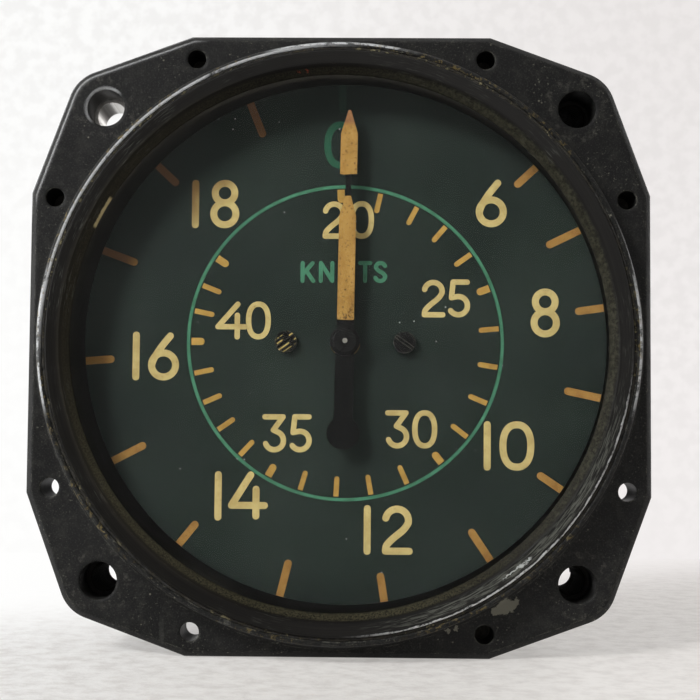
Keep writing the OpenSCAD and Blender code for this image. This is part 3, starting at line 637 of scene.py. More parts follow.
class Shade(Nodes):
    """A material, with calls for its patterns and masks.

    Lengths in the nodes are in metres, and sizes handed to place, line, spots, step_mm, wobble, polar,
    edges and bump are in millimetres.
    """

    BEVEL_SAMPLES = 6

    def __init__(self, name):
        self.material = bpy.data.materials.new(name)
        self.material.use_nodes = True
        super().__init__(self.material.node_tree)
        self.bsdf = self.tree.nodes["Principled BSDF"]
        self.output = self.tree.nodes["Material Output"]
        self.coords = self.add("TexCoord").outputs["Object"]

    def set(self, socket_name, value):
        self.put(value, self.bsdf.inputs[socket_name])

    def vary_roughness(self, low, high, *noise):
        self.set("Roughness", self.step(self.noise(*noise), 0.3, 0.7, low, high))

    def show(self, shader):
        self.link(shader, self.output.inputs["Surface"])

    def noise(self, scale, detail=4.0, roughness=0.55, vector=None):
        node = self.add("TexNoise")
        node.inputs["Scale"].default_value = scale
        node.inputs["Detail"].default_value = detail
        node.inputs["Roughness"].default_value = roughness
        self.link(vector or self.coords, node.inputs["Vector"])
        return node.outputs["Fac"]

    def streaks(self, u, v, detail, roughness, layer=0.0):
        """Noise over two values that are stretched already."""
        return self.noise(1.0, detail, roughness, self.vector(u, v, layer))

    def wobble(self, span, *noise):
        """A length that strays to both sides of zero with a noise."""
        return self.times(self.minus(self.noise(*noise), 0.5), span * MM)

    def dots(self, scale, reach, core):
        """One in the middle of scattered cells."""
        node = self.add("TexVoronoi")
        node.inputs["Scale"].default_value = scale
        self.link(self.coords, node.inputs["Vector"])
        return self.step(node.outputs["Distance"], reach, core)

    def step(self, value, low, high, to_low=0.0, to_high=1.0):
        """A smooth step of a value between two limits."""
        node = self.add("MapRange")
        node.interpolation_type = "SMOOTHSTEP"
        self.put(value, node.inputs["Value"])
        self.put(low, node.inputs["From Min"])
        self.put(high, node.inputs["From Max"])
        self.put(to_low, node.inputs["To Min"])
        self.put(to_high, node.inputs["To Max"])
        return node.outputs["Result"]

    def step_mm(self, length, low, high, to_low=0.0, to_high=1.0):
        """A smooth step of a length."""
        return self.step(length, low * MM, high * MM, to_low, to_high)

    def mix(self, factor, a, b):
        node = self.add("Mix")
        node.data_type = "RGBA"
        self.put(factor, node.inputs["Factor"])
        for value, socket in ((a, node.inputs[6]), (b, node.inputs[7])):
            self.put(value if isinstance(value, bpy.types.NodeSocket) else (*value, 1.0), socket)
        return node.outputs[2]

    def two_tone(self, first, second, *noise):
        """A colour that wanders between two with a noise."""
        return self.mix(self.step(self.noise(*noise), 0.35, 0.7), first, second)

    def place(self, x, y, z):
        """Distance from a point of the face frame."""
        node = self.add("VectorMath")
        node.operation = "DISTANCE"
        self.link(self.coords, node.inputs[0])
        node.inputs[1].default_value = on_world(x, y, z)
        return node.outputs["Value"]

    def reach(self, dx, dy):
        return self.math("SQRT", self.plus(self.times(dx, dx), self.times(dy, dy)))

    def corner_distance(self):
        """Distance from the axis of the nearest mounting hole."""
        axes = self.axes()
        dx = self.minus(self.math("ABSOLUTE", axes["X"]), MOUNT_AT * MM)
        dy = self.minus(self.math("ABSOLUTE", axes["Z"]), MOUNT_AT * MM)
        return self.reach(dx, dy)

    def polar(self, cx=0.0, cy=0.0):
        """Radius and turn in radians round an axis that points at the reader."""
        axes = self.axes()
        dx = self.minus(axes["X"], cx * MM)
        dy = self.minus(axes["Z"], cy * MM)
        return self.reach(dx, dy), self.math("ARCTAN2", dy, dx)

    def spots(self, places, ragged):
        """One inside any of the round places, whose edges a noise makes ragged."""
        mask = None
        for x, y, z, r in places:
            spot = self.step_mm(self.plus(self.place(x, y, z), ragged), r, r * 0.88)
            mask = spot if mask is None else self.larger(mask, spot)
        return mask

    def line(self, length, middle, half):
        """One where a length is near a middle."""
        away = self.math("ABSOLUTE", self.minus(length, middle * MM))
        return self.step_mm(away, half, half * 0.4)

    def facing(self, turn, angle, low, high, times=1.0):
        """One where the turn is near an angle in degrees, or near that many angles round the axis."""
        away = self.minus(self.times(turn, times), math.radians(angle) * times)
        return self.step(self.math("COSINE", away), low, high)

    def axes(self):
        node = self.add("SeparateXYZ")
        self.link(self.coords, node.inputs[0])
        return node.outputs

    def vector(self, x, y, z):
        node = self.add("CombineXYZ")
        for value, socket in zip((x, y, z), node.inputs):
            self.put(value, socket)
        return node.outputs[0]

    def rounded(self, radius):
        """The surface's normal with its sharp edges rounded."""
        node = self.add("Bevel")
        node.samples = self.BEVEL_SAMPLES
        node.inputs["Radius"].default_value = radius * MM
        return node.outputs["Normal"]

    def edges(self, radius):
        """Above zero where a sharp edge is near."""
        dot = self.add("VectorMath")
        dot.operation = "DOT_PRODUCT"
        self.link(self.rounded(radius), dot.inputs[0])
        self.link(self.add("NewGeometry").outputs["Normal"], dot.inputs[1])
        return self.math("SUBTRACT", 1.0, dot.outputs["Value"], True)

    def bump(self, height, distance, strength=1.0, edge=0.0):
        """Relief of a depth, on edges that are rounded by a radius."""
        node = self.add("Bump")
        node.inputs["Strength"].default_value = strength
        node.inputs["Distance"].default_value = distance * MM
        self.link(height, node.inputs["Height"])
        if edge:
            self.link(self.rounded(edge), node.inputs["Normal"])
        self.link(node.outputs["Normal"], self.bsdf.inputs["Normal"])


def srgb(r, g, b):
    """A colour written in 0 to 255, as the linear values that Blender takes."""
    def channel(v):
        v /= 255
        return v / 12.92 if v <= 0.04045 else ((v + 0.055) / 1.055) ** 2.4
    return (channel(r), channel(g), channel(b))


# Directions on the face, in degrees anticlockwise from the right
UPPER_LEFT = 135
LEFT = 180
LOWER_RIGHT = -46
KHAKI_SIDE = -112
DUSTY_SIDE = 15
BRIGHT_LOBE = 132

# Radii of the case's front
COLLAR_IN_R = 38.66
COLLAR_MID_R = 38.9
COLLAR_OUT_R = 39.02
COLLAR_TOP = 3.9
CASE_BORE_R = 36.7

# Radii of the bezel ring, from its inner edge outwards
LIP_R = 35.45
SLOPE_END_R = 35.8
FLAT_FROM_R = 36.1
FLAT_TO_R = 37.7
RIM_R = 37.94

# Bare places: x, y, z and radius
CHIPS = [
    (21.9, -34.3, 0.0, 1.2),
    (23.1, -33.9, 0.0, 0.7),
    (20.9, -34.9, 0.0, 0.6),
    (15.7, -37.2, 0.0, 0.42),
    (14.3, -37.5, 0.0, 0.32),
]
LIP_RUST = [(-5.3, 35.2, 3.6, 0.20), (-4.6, 35.4, 3.6, 0.14)]
LIP_CHIP_R = 35.12
LIP_CHIP_TURN = 151.7
SCUFF_R = 36.9
SCUFF_TURN = -51.5


def case_paint():
    """Old satin black paint, dusty, rubbed to grey along its edges, with a few chips, a collar crest partly
    worn and partly painted with highlights, and a painted highlight on the flange's upper left edge.
    """
    s = Shade("case_black_paint")
    axes = s.axes()
    radius, turn = s.polar()
    from_hole = s.corner_distance()
    colour = s.two_tone(srgb(17, 17, 17), srgb(28, 28, 28), 55, 5, 0.6)
    colour = s.mix(s.step(s.noise(480, 5, 0.75), 0.46, 0.66, 0.0, 0.6), colour, srgb(46, 46, 43))
    colour = s.mix(s.step(s.noise(4400, 3, 0.7), 0.50, 0.72, 0.0, 0.42), colour, srgb(74, 74, 71))

    dust = s.times(s.step(s.noise(2600, 2), 0.60, 0.74), s.step(s.noise(160, 4), 0.40, 0.66))
    colour = s.mix(s.times(dust, 0.7), colour, srgb(118, 117, 106))
    specks = s.times(s.dots(800, 0.14, 0.07), s.step(s.noise(260, 2), 0.53, 0.63), 0.45)
    colour = s.mix(specks, colour, srgb(170, 166, 150))
    upright = s.noise(900, 2, 0.5, s.vector(axes["X"], axes["Y"], s.times(axes["Z"], 0.08)))
    scrapes = s.times(s.step(upright, 0.66, 0.72), s.step(s.noise(90, 2), 0.5, 0.7), 0.35)
    colour = s.mix(scrapes, colour, srgb(105, 105, 100))

    edge = s.times(
        s.step(s.edges(0.4), 0.03, 0.12),
        s.step(s.noise(520, 6, 0.75), 0.47, 0.62),
        s.step_mm(from_hole, 3.0, 4.0, 0.1, 0.55),
    )
    colour = s.mix(edge, colour, srgb(140, 139, 128))

    # Near white lines along the collar's crest, on the sides that face the light: partly worn paint, partly
    # painted highlight.
    inner_crest_wear_and_highlight = s.times(s.line(radius, COLLAR_IN_R, 0.30), s.facing(turn, UPPER_LEFT, 0.62, 0.90))
    outer_crest_wear_and_highlight = s.times(
        s.line(radius, COLLAR_OUT_R, 0.24),
        s.facing(turn, 0, 0.45, 0.85, 4.0),
        s.step_mm(axes["Z"], -32, -20),
        s.step(s.noise(620, 5, 0.75), 0.38, 0.54, 0.15, 1.0),
    )
    rub = s.times(
        s.larger(inner_crest_wear_and_highlight, outer_crest_wear_and_highlight),
        s.step(s.noise(330, 5, 0.7), 0.30, 0.44),
        s.step_mm(axes["Y"], 0.5 - COLLAR_TOP, 0.25 - COLLAR_TOP),
        0.95,
    )
    colour = s.mix(rub, colour, srgb(224, 226, 227))
    # Painted highlight on the flange's outer edge where it faces the upper left.
    painted_edge_highlight = s.times(
        s.step(s.edges(0.9), 0.02, 0.10),
        s.facing(turn, BRIGHT_LOBE, 0.86, 0.95),
        s.step_mm(radius, 44.0, 45.5),
        0.9,
    )
    colour = s.mix(painted_edge_highlight, colour, srgb(222, 223, 224))
    seat = s.times(s.line(from_hole, 3.9, 0.9), s.step(s.noise(850, 5, 0.75), 0.50, 0.66), 0.22)
    colour = s.mix(seat, colour, srgb(120, 118, 110))

    grains = s.times(
        s.line(radius, COLLAR_MID_R, 0.5),
        s.step(s.noise(1300, 4, 0.65), 0.53, 0.62),
        s.step(s.noise(70, 3), 0.42, 0.6),
        s.step_mm(axes["Y"], -0.4, -1.0),
        0.6,
    )
    colour = s.mix(grains, colour, srgb(132, 116, 74))
    bore = s.times(
        s.step_mm(radius, CASE_BORE_R + 0.3, CASE_BORE_R),
        s.step_mm(axes["Y"], 0.0, 1.0),
        s.step_mm(axes["Y"], 34, 26),
    )
    colour = s.mix(bore, colour, srgb(96, 94, 84))
    bare = s.spots(CHIPS, s.wobble(2.8, 900, 4, 0.7))
    colour = s.mix(bare, colour, srgb(124, 122, 110))

    s.set("Base Color", colour)
    s.set("Roughness", s.plus(s.step(s.noise(120, 4), 0.3, 0.7, 0.40, 0.56), s.times(dust, 0.3)))
    s.set("Specular IOR Level", 0.15)
    s.bump(s.minus(s.noise(1400, 3, 0.6), s.times(bare, 0.8)), 0.05, 0.7, 0.7)
    return s.material


def bezel_enamel():
    """Blackened ring, turned, scuffed at the lower right and with its inner edge rubbed to khaki; its
    shaded left slope is painted lighter, and its worn outer edge at the lower right carries a painted
    highlight.
    """
    s = Shade("bezel_black_enamel")
    radius, turn = s.polar()
    lines = s.streaks(s.times(radius, 9000), s.times(turn, 2.2), 3, 0.6)
    colour = s.mix(s.step(lines, 0.35, 0.75), srgb(15, 14, 13), srgb(26, 25, 22))
    # Painted light: the left slope, which lies in shade, is lifted to a lighter brown grey.
    painted_fill_left_slope = s.times(
        s.facing(turn, LEFT, 0.2, 0.9), s.step_mm(radius, SLOPE_END_R + 1.0, SLOPE_END_R + 0.2, 0.02, 0.6)
    )
    colour = s.mix(painted_fill_left_slope, colour, srgb(54, 51, 44))

    flat = s.times(
        s.step_mm(radius, FLAT_FROM_R, FLAT_FROM_R + 0.4), s.step_mm(radius, FLAT_TO_R, FLAT_TO_R - 0.3)
    )
    corner = s.times(s.facing(turn, LOWER_RIGHT, 0.72, 0.97), flat)
    patches = s.math("ADD", s.step(s.noise(75, 4, 0.6), 0.50, 0.74), corner, True)
    short = s.streaks(s.times(radius, 6800), s.times(turn, 16), 3, 0.6, 3.0)
    scratches = s.times(s.step(s.plus(short, s.times(corner, 0.10)), 0.52, 0.68), patches, 0.55)
    colour = s.mix(scratches, colour, srgb(120, 122, 114))

    share = s.plus(0.22, s.times(s.facing(turn, KHAKI_SIDE, 0.40, 0.85), 0.48))
    khaki = s.times(s.line(radius, LIP_R, 0.58), s.step(s.noise(4200, 4, 0.75), 0.34, 0.66), share, 0.8)
    colour = s.mix(khaki, colour, srgb(94, 90, 68))
    dusty = s.times(
        s.facing(turn, DUSTY_SIDE, 0.2, 0.9),
        s.step_mm(radius, SLOPE_END_R + 0.5, SLOPE_END_R),
        s.step(s.noise(1700, 4, 0.7), 0.40, 0.66, 0.05, 0.5),
    )
    colour = s.mix(dusty, colour, srgb(74, 74, 61))
    edge = s.times(s.step(s.edges(0.3), 0.03, 0.12), s.step(s.noise(300, 5, 0.7), 0.54, 0.64), 0.35)
    colour = s.mix(edge, colour, srgb(104, 98, 78))

    # Near white broken line on the outer edge at the lower right: partly worn to bare metal, partly painted
    # highlight.
    rim_wear_and_highlight = s.times(
        s.line(s.plus(radius, s.wobble(0.6, 500, 5, 0.7)), RIM_R, 0.19),
        s.facing(turn, LOWER_RIGHT, 0.72, 0.92),
        s.step(s.noise(900, 5, 0.75), 0.36, 0.52),
        0.95,
    )
    colour = s.mix(rim_wear_and_highlight, colour, srgb(236, 238, 238))
    scuff = s.times(
        s.line(s.plus(radius, s.wobble(3.4, 300, 5, 0.7)), SCUFF_R, 0.20),
        s.facing(turn, SCUFF_TURN, 0.9976, 0.9988),
        s.step(s.noise(1300, 4, 0.7), 0.36, 0.50),
        0.9,
    )
    colour = s.mix(scuff, colour, srgb(200, 203, 201))
    ragged = s.wobble(2.6, 1100, 4, 0.75)
    chip = s.times(
        s.line(s.plus(radius, s.times(ragged, 0.15)), LIP_CHIP_R, 0.26),
        s.facing(turn, LIP_CHIP_TURN, 0.9976, 0.9986),
    )
    colour = s.mix(chip, colour, srgb(196, 180, 134))
    colour = s.mix(s.spots(LIP_RUST, ragged), colour, srgb(122, 52, 36))

    s.set("Base Color", colour)
    s.vary_roughness(0.34, 0.5, 200, 4)
    flat_gloss = s.step(s.math("COSINE", turn), -0.8, 0.6, 0.08, 0.22)
    s.set("Specular IOR Level", s.step_mm(radius, SLOPE_END_R, SLOPE_END_R + 0.8, 0.05, flat_gloss))
    s.bump(lines, 0.03, 0.5, 0.25)
    return s.material


def sealant():
    """Dry crust, brown black with pale grains."""
    s = Shade("groove_crust")
    colour = s.mix(s.step(s.noise(700, 5, 0.7), 0.38, 0.66), srgb(17, 16, 14), srgb(44, 40, 31))
    grains = s.times(s.step(s.noise(1500, 4, 0.65), 0.54, 0.66), s.step(s.noise(75, 3), 0.42, 0.62))
    s.set("Base Color", s.mix(grains, colour, srgb(138, 131, 102)))
    s.vary_roughness(0.7, 0.95, 1500, 2)
    s.bump(s.noise(2600, 3), 0.08)
    return s.material


def shade_plug_paint():
    """Grey lumpy paint for the plugs that stand in for shade deep in the small holes."""
    s = Shade("hole_shade_plug_grey")
    lumps = s.step(s.noise(1500, 4, 0.7), 0.38, 0.66)
    s.set("Base Color", s.mix(lumps, srgb(92, 89, 82), srgb(134, 130, 121)))
    s.vary_roughness(0.8, 0.95, 1500, 2)
    s.bump(s.noise(2600, 3), 0.08)
    return s.material


def dial_paint():
    """Blue green black dial, matt, with dust specks and faint cloudy wear."""
    s = Shade("dial_black_paint")
    cloud = s.noise(70, 5, 0.6)
    colour = s.mix(s.step(cloud, 0.3, 0.72), srgb(24, 33, 29), srgb(35, 44, 39))
    specks = s.times(s.dots(520, 0.075, 0.04), s.step(s.noise(230, 2), 0.60, 0.66), 0.5)
    colour = s.mix(specks, colour, srgb(190, 195, 190))
    haze = s.times(s.step(s.noise(3200, 2), 0.60, 0.78), 0.08)
    s.set("Base Color", s.mix(haze, colour, srgb(110, 120, 112)))
    s.set("Roughness", s.step(cloud, 0.3, 0.7, 0.6, 0.75))
    s.set("Specular IOR Level", 0.07)
    s.bump(s.noise(2400, 3), 0.02, 0.5)
    return s.material


ZERO_MARK_FROM = 30.6


def figure_paint(name, body_colour, dark_colour, stain_and_shade_colour, mark_shadow_colour=None):
    """Brushed dial paint, a little uneven, browner towards the dial's upper left, partly from stain and
    partly as painted shade of the bezel.
    """
    s = Shade(name)
    axes = s.axes()
    # Browner towards the dial's upper left: painted shade of the bezel, partly a brown stain.
    corner = s.plus(s.minus(axes["Z"], axes["X"]), s.wobble(12.0, 160, 3))
    colour = s.two_tone(body_colour, dark_colour, 700, 5, 0.65)
    colour = s.mix(s.step_mm(corner, 32.5, 40.5), colour, stain_and_shade_colour)
    # The mark above the zero darker still: painted shadow of the bezel.
    if mark_shadow_colour:
        upper = s.step_mm(axes["Z"], ZERO_MARK_FROM, ZERO_MARK_FROM + 0.6)
        colour = s.mix(upper, colour, mark_shadow_colour)
    pits = s.times(s.step(s.noise(2600, 3), 0.62, 0.74), 0.4)
    s.set("Base Color", s.mix(pits, colour, srgb(60, 52, 38)))
    s.vary_roughness(0.6, 0.8, 500, 3)
    s.set("Specular IOR Level", 0.08)
    s.bump(s.noise(1800, 3), 0.03, 0.6)
    return s.material


POINTER_BANDS = [(2.8, 19.4), (22.2, 40.0)]
BAND_EDGE = 0.06


def pointer_paint():
    """Mustard paint on the blades, black on the neck and tail, with specks, a rubbed root and a browner
    tip, partly a tint and partly painted shadow.
    """
    s = Shade("pointer_two_paints")
    axes = s.axes()
    dx = s.minus(axes["X"], DIAL_X * MM)
    dy = s.minus(axes["Z"], DIAL_Y * MM)
    along = s.plus(s.times(dx, math.sin(POINTER_LEAN)), s.times(dy, math.cos(POINTER_LEAN)))
    uneven = s.plus(along, s.wobble(0.3, 900, 2))
    yellow = None
    for low, high in POINTER_BANDS:
        band = s.times(s.step_mm(uneven, low, low + BAND_EDGE), s.step_mm(uneven, high, high - BAND_EDGE))
        yellow = band if yellow is None else s.larger(yellow, band)
    mustard = s.two_tone(srgb(165, 130, 70), srgb(143, 108, 52), 420, 5, 0.65)
    # Browner towards the tip: partly a brown tint, partly painted shadow of the bezel.
    mustard = s.mix(s.step_mm(along, 28.6, 29.4, 0.0, 0.85), mustard, srgb(124, 86, 60))
    rub = s.times(s.step(s.noise(1500, 4, 0.7), 0.52, 0.60), s.step_mm(along, 6.2, 2.6))
    specks = s.times(s.step(s.noise(2600, 3, 0.65), 0.58, 0.67), 0.7)
    mustard = s.mix(s.larger(rub, specks), mustard, srgb(66, 48, 27))
    black = s.two_tone(srgb(10, 11, 11), srgb(17, 17, 16), 500, 4)
    s.set("Base Color", s.mix(yellow, black, mustard))
    s.vary_roughness(0.42, 0.58, 600, 3)
    s.set("Specular IOR Level", 0.05)
    s.bump(s.noise(1800, 3), 0.03, 0.5, 0.08)
    return s.material


def hub_enamel():
    """Black enamel on turned metal."""
    s = Shade("hub_black_enamel")
    radius, turn = s.polar(DIAL_X, DIAL_Y)
    rings = s.streaks(s.times(radius, 9000), turn, 2, 0.5)
    s.set("Base Color", s.mix(s.step(rings, 0.4, 0.7), srgb(9, 9, 9), srgb(16, 16, 15)))
    s.vary_roughness(0.25, 0.4, 900, 3)
    s.set("Specular IOR Level", 0.08)
    s.bump(rings, 0.02, 0.5, 0.15)
    return s.material


def glass():
    """Clear bloomed pane under a thin film of dust, which lets the lamps through."""
    s = Shade("window_glass_clear")
    s.set("Base Color", (1.0, 1.0, 1.0, 1.0))
    s.set("Roughness", 0.0)
    s.set("IOR", 1.11)
    s.set("Transmission Weight", 1.0)
    front = s.step_mm(s.axes()["Y"], 0.2 - GLASS_TOP, 0.1 - GLASS_TOP)
    grains = s.times(s.dots(640, 0.085, 0.05), s.step(s.noise(230, 2), 0.56, 0.62), 0.45)
    film = s.plus(grains, s.step(s.noise(90, 4), 0.35, 0.7, 0.005, 0.012))
    dust = s.add("BsdfDiffuse")
    dust.inputs["Color"].default_value = (*srgb(205, 206, 204), 1.0)
    pane = s.mix_shaders(s.times(film, front), s.bsdf.outputs["BSDF"], dust.outputs["BSDF"])
    shadow = s.add("LightPath").outputs["Is Shadow Ray"]
    s.show(s.mix_shaders(shadow, pane, s.add("BsdfTransparent").outputs["BSDF"]))
    return s.material


def worn_metal(name, bright, dark, roughness, grime):
    """Turned metal with tarnish in patches."""
    s = Shade(name)
    tarnish = s.step(s.noise(260, 5, 0.65), 0.38, 0.68)
    dirt = s.times(s.step(s.noise(900, 4, 0.6), 0.60, 0.72), 0.6)
    s.set("Base Color", s.mix(dirt, s.mix(tarnish, bright, dark), grime))
    s.set("Metallic", s.step(tarnish, 0.0, 1.0, 1.0, 0.75))
    s.vary_roughness(roughness - 0.08, roughness + 0.12, 700, 3)
    s.bump(s.noise(2200, 2), 0.02, 0.5, 0.1)
    return s.material


def bush_metal():
    """Mounting bushes: blackened and dirty, with the plain one at the upper left painted as pale bright
    metal for the light that shows through its bore.
    """
    s = Shade("bush_blackened")
    axes = s.axes()
    sx, sy = PLAIN_BUSH
    # Painted light: the plain bush at the upper left is a lit copy of the blackened finish, pale bright
    # metal in streaks.
    bright = s.step_mm(s.place(sx * MOUNT_AT, sy * MOUNT_AT, 0.0), 30, 28)
    streak = s.streaks(s.times(axes["X"], 1500), s.times(axes["Z"], 1500), 3, 0.6)
    pale = s.mix(s.step(streak, 0.35, 0.7), srgb(216, 214, 210), srgb(170, 167, 161))
    dark = s.two_tone(srgb(20, 19, 18), srgb(38, 36, 33), 500, 4)
    s.set("Base Color", s.mix(bright, dark, pale))
    s.set("Metallic", s.times(bright, 0.9))
    s.set("Roughness", s.step(bright, 0.0, 1.0, 0.6, 0.3))
    s.set("Specular IOR Level", 0.12)
    s.bump(s.noise(2200, 2), 0.02, 0.5, 0.1)
    return s.material


SCREW_X = 7.9
SLOT_ANGLE = math.radians(35)


def screw_metal():
    """Dial screws: black finish, with brass showing along the left one's slot, and edges paler, partly from
    wear and partly as painted highlight.
    """
    s = Shade("dial_screw_black_brass")
    axes = s.axes()
    dx = s.plus(axes["X"], (SCREW_X - DIAL_X) * MM)
    dy = s.minus(axes["Z"], DIAL_Y * MM)
    across = s.minus(s.times(dy, math.cos(SLOT_ANGLE)), s.times(dx, math.sin(SLOT_ANGLE)))
    aside = s.math("ABSOLUTE", across)
    lines = s.larger(s.line(aside, 0.40, 0.13), s.times(s.line(aside, 0.95, 0.10), 0.6))
    rub = s.times(lines, s.step(s.noise(900, 3, 0.6), 0.44, 0.54))
    left = s.step_mm(axes["X"], 0.0, -4.0)
    shown = s.times(rub, s.plus(0.04, s.times(left, 0.9)))
    black = s.two_tone(srgb(10, 10, 10), srgb(22, 22, 21), 900, 4)
    # Paler edges: partly wear, partly painted highlight.
    rim_wear_and_highlight = s.times(s.step(s.edges(0.25), 0.03, 0.12), s.step(s.noise(1500, 3), 0.42, 0.56), 0.55)
    black = s.mix(rim_wear_and_highlight, black, srgb(112, 110, 98))
    s.set("Base Color", s.mix(shown, black, srgb(186, 166, 98)))
    s.set("Metallic", s.times(shown, 0.5))
    s.set("Roughness", s.step(rub, 0.0, 1.0, 0.30, 0.36))
    s.set("Specular IOR Level", 0.07)
    s.bump(s.noise(2200, 2), 0.03, 0.6, 0.1)
    return s.material


def rubber():
    """Old black rubber, greyed."""
    s = Shade("gasket_rubber")
    s.set("Base Color", s.two_tone(srgb(22, 21, 20), srgb(44, 41, 36), 500, 4))
    s.vary_roughness(0.7, 0.9, 900, 3)
    s.bump(s.noise(2200, 3), 0.04)
    return s.material


def fibre():
    """Red vulcanised fibre, with strands along the washer."""
    s = Shade("washer_fibre")
    axes = s.axes()
    strand = s.streaks(s.times(axes["X"], 900), s.times(axes["Z"], 2600), 4, 0.6)
    s.set("Base Color", s.mix(s.step(strand, 0.35, 0.7), srgb(112, 48, 34), srgb(140, 70, 48)))
    s.vary_roughness(0.75, 0.92, 800, 3)
    s.bump(strand, 0.04)
    return s.material


# Finish of each material slot, and of the nodes that differ from their slot
SLOT_FINISH = {
    "case_paint": "case", "bush_metal": "bush", "bezel_enamel": "bezel", "window": "glass",
    "rubber": "rubber", "dial_paint": "dial", "pointer_paint": "pointer", "hub_enamel": "hub",
    "brass": "brass", "steel": "steel", "fibre": "fibre",
}
OWN_FINISH = {"dial_screws": "screw", "spindle": "pale"}


def dress_nodes(materials):
    """Gives each CAD node its material."""
    slot_of = {p["node"]: p["material_slot"] for p in frame["record"]["subparts"]}
    for name, node in frame["nodes"].items():
        key = OWN_FINISH.get(name, SLOT_FINISH[slot_of[name]])
        node.data.materials.clear()
        node.data.materials.append(materials[key])


# ---------------------------------------------------------------- stage, in metres


TABLE_SLOPE = math.tan(math.radians(2.9))
TABLE_Z = -0.0413
TABLE_LEVEL_AT = 0.003
TABLE_HALF_W = 0.8
TABLE_FRONT = -0.100
TABLE_BACK = 0.100
TABLE_SHARE = 0.5
FLOOR_SHARE = 0.8
FLOOR_Z = -0.40
FLOOR_FRONT = -1.0
ROOM_HALF_W = 1.2
WALL_Y = 0.46
WALL_TOP = 0.7


def shown_pale(shade, colour, share):
    """Lets a stage piece show its own colour to the camera and in reflections, in a share of its look."""
    seen = shade.pale_rays(shade.add("LightPath").outputs)
    glow = shade.add("Emission")
    shade.link(colour, glow.inputs["Color"])
    factor = shade.times(seen, share)
    shade.show(shade.mix_shaders(factor, shade.bsdf.outputs["BSDF"], glow.outputs["Emission"]))


def wall_colour(shade, along, half_w):
    """The wall's white, a little darker to the right as painted shading, over a half width."""
    return shade.mix(shade.step(along, -half_w, half_w), srgb(255, 255, 254), srgb(243, 239, 238))


def table_paint(name, share):
    """Pale rough board with faint flecks, lighter to the left and darker to the right as painted shading,
    that fades into the wall's colour at its rear.
    """
    s = Shade(name)
    axes = s.axes()
    grain = s.streaks(s.times(axes["X"], 330), s.times(axes["Y"], 430), 5, 0.66)
    # Painted shading: lighter to the left, darker to the right.
    colour = s.mix(s.step(axes["X"], -0.075, 0.005), srgb(255, 255, 254), srgb(239, 236, 232))
    colour = s.mix(s.step(axes["X"], 0.0, 0.09, 0.0, 0.6), colour, srgb(230, 224, 221))
    colour = s.mix(s.step(grain, 0.38, 0.70, 0.0, 0.6), colour, srgb(214, 209, 205))
    rear = s.step(s.minus(axes["Y"], s.times(axes["X"], 0.55)), 0.012, 0.080)
    colour = s.mix(rear, colour, wall_colour(s, axes["X"], 0.075))
    s.set("Base Color", colour)
    s.set("Roughness", 0.85)
    s.bump(grain, 0.4, 0.5)
    shown_pale(s, colour, s.step(rear, 0.0, 1.0, share, 1.0))
    return s.material


def wall_paint():
    """White plaster, darker upwards as painted shading, whose lumps show more to the right and upwards."""
    s = Shade("stage_plaster")
    axes = s.axes()
    colour = wall_colour(s, axes["X"], 0.17)
    # Painted shading: darker upwards, more so to the right.
    upper = s.times(s.step(axes["Z"], 0.0, 0.20), s.step(axes["X"], -0.17, 0.17, 0.04, 0.25))
    colour = s.mix(upper, colour, srgb(214, 210, 208))
    up_right = s.plus(s.times(axes["X"], 0.5), axes["Z"])
    lumps = s.times(
        s.step(s.noise(150, 2, 0.45), 0.36, 0.64), s.step(up_right, -0.05, 0.15, 0.05, 0.20)
    )
    colour = s.mix(lumps, colour, srgb(208, 205, 203))
    s.set("Base Color", colour)
    s.set("Roughness", 0.9)
    shown_pale(s, colour, 1.0)
    return s.material


def stage_sheet(name, half_w, near, far, material):
    """A flat sheet between two edges, each given by its y and z."""
    corners = [(-half_w, *near), (half_w, *near), (half_w, *far), (-half_w, *far)]
    mesh = bpy.data.meshes.new(name)
    mesh.from_pydata(corners, [], [(0, 1, 2, 3)])
    mesh.materials.append(material)
    sheet = bpy.data.objects.new(name, mesh)
    bpy.context.scene.collection.objects.link(sheet)


def build_stage():
    """A table that rises a little to the rear, the floor it stands on, and a plaster wall behind."""
    front_z = TABLE_Z + TABLE_SLOPE * (TABLE_FRONT - TABLE_LEVEL_AT)
    back_z = TABLE_Z + TABLE_SLOPE * (TABLE_BACK - TABLE_LEVEL_AT)
    board = table_paint("stage_board", TABLE_SHARE)
    stage_sheet("stage_table", TABLE_HALF_W, (TABLE_FRONT, front_z), (TABLE_BACK, back_z), board)
    floor = table_paint("stage_floor_board", FLOOR_SHARE)
    stage_sheet("stage_floor", ROOM_HALF_W, (FLOOR_FRONT, FLOOR_Z), (WALL_Y, FLOOR_Z), floor)
    stage_sheet("stage_wall", ROOM_HALF_W, (WALL_Y, FLOOR_Z), (WALL_Y, WALL_TOP), wall_paint())


# Square lamps: name, place, aim, side and watts
LAMPS = [
    ("key", (-0.40, -0.42, 0.40), (0, 0, 0), 0.17, 3.6),
    ("left_fill", (-0.62, -0.08, 0.10), (0, 0, 0), 0.30, 1.6),
    ("back_fill", (0.30, 0.38, 0.12), (0, 0.03, 0), 0.30, 2.0),
]
WORLD_LIGHT = 0.14


def lamp(name, place, aim, side, watts):
    data = bpy.data.lights.new(name, "AREA")
    data.shape = "SQUARE"
    data.size = side
    data.energy = watts
    light = bpy.data.objects.new(name, data)
    light.location = place
    light.rotation_euler = (Vector(aim) - Vector(place)).to_track_quat("-Z", "Y").to_euler()
    light.visible_camera = False
    bpy.context.scene.collection.objects.link(light)


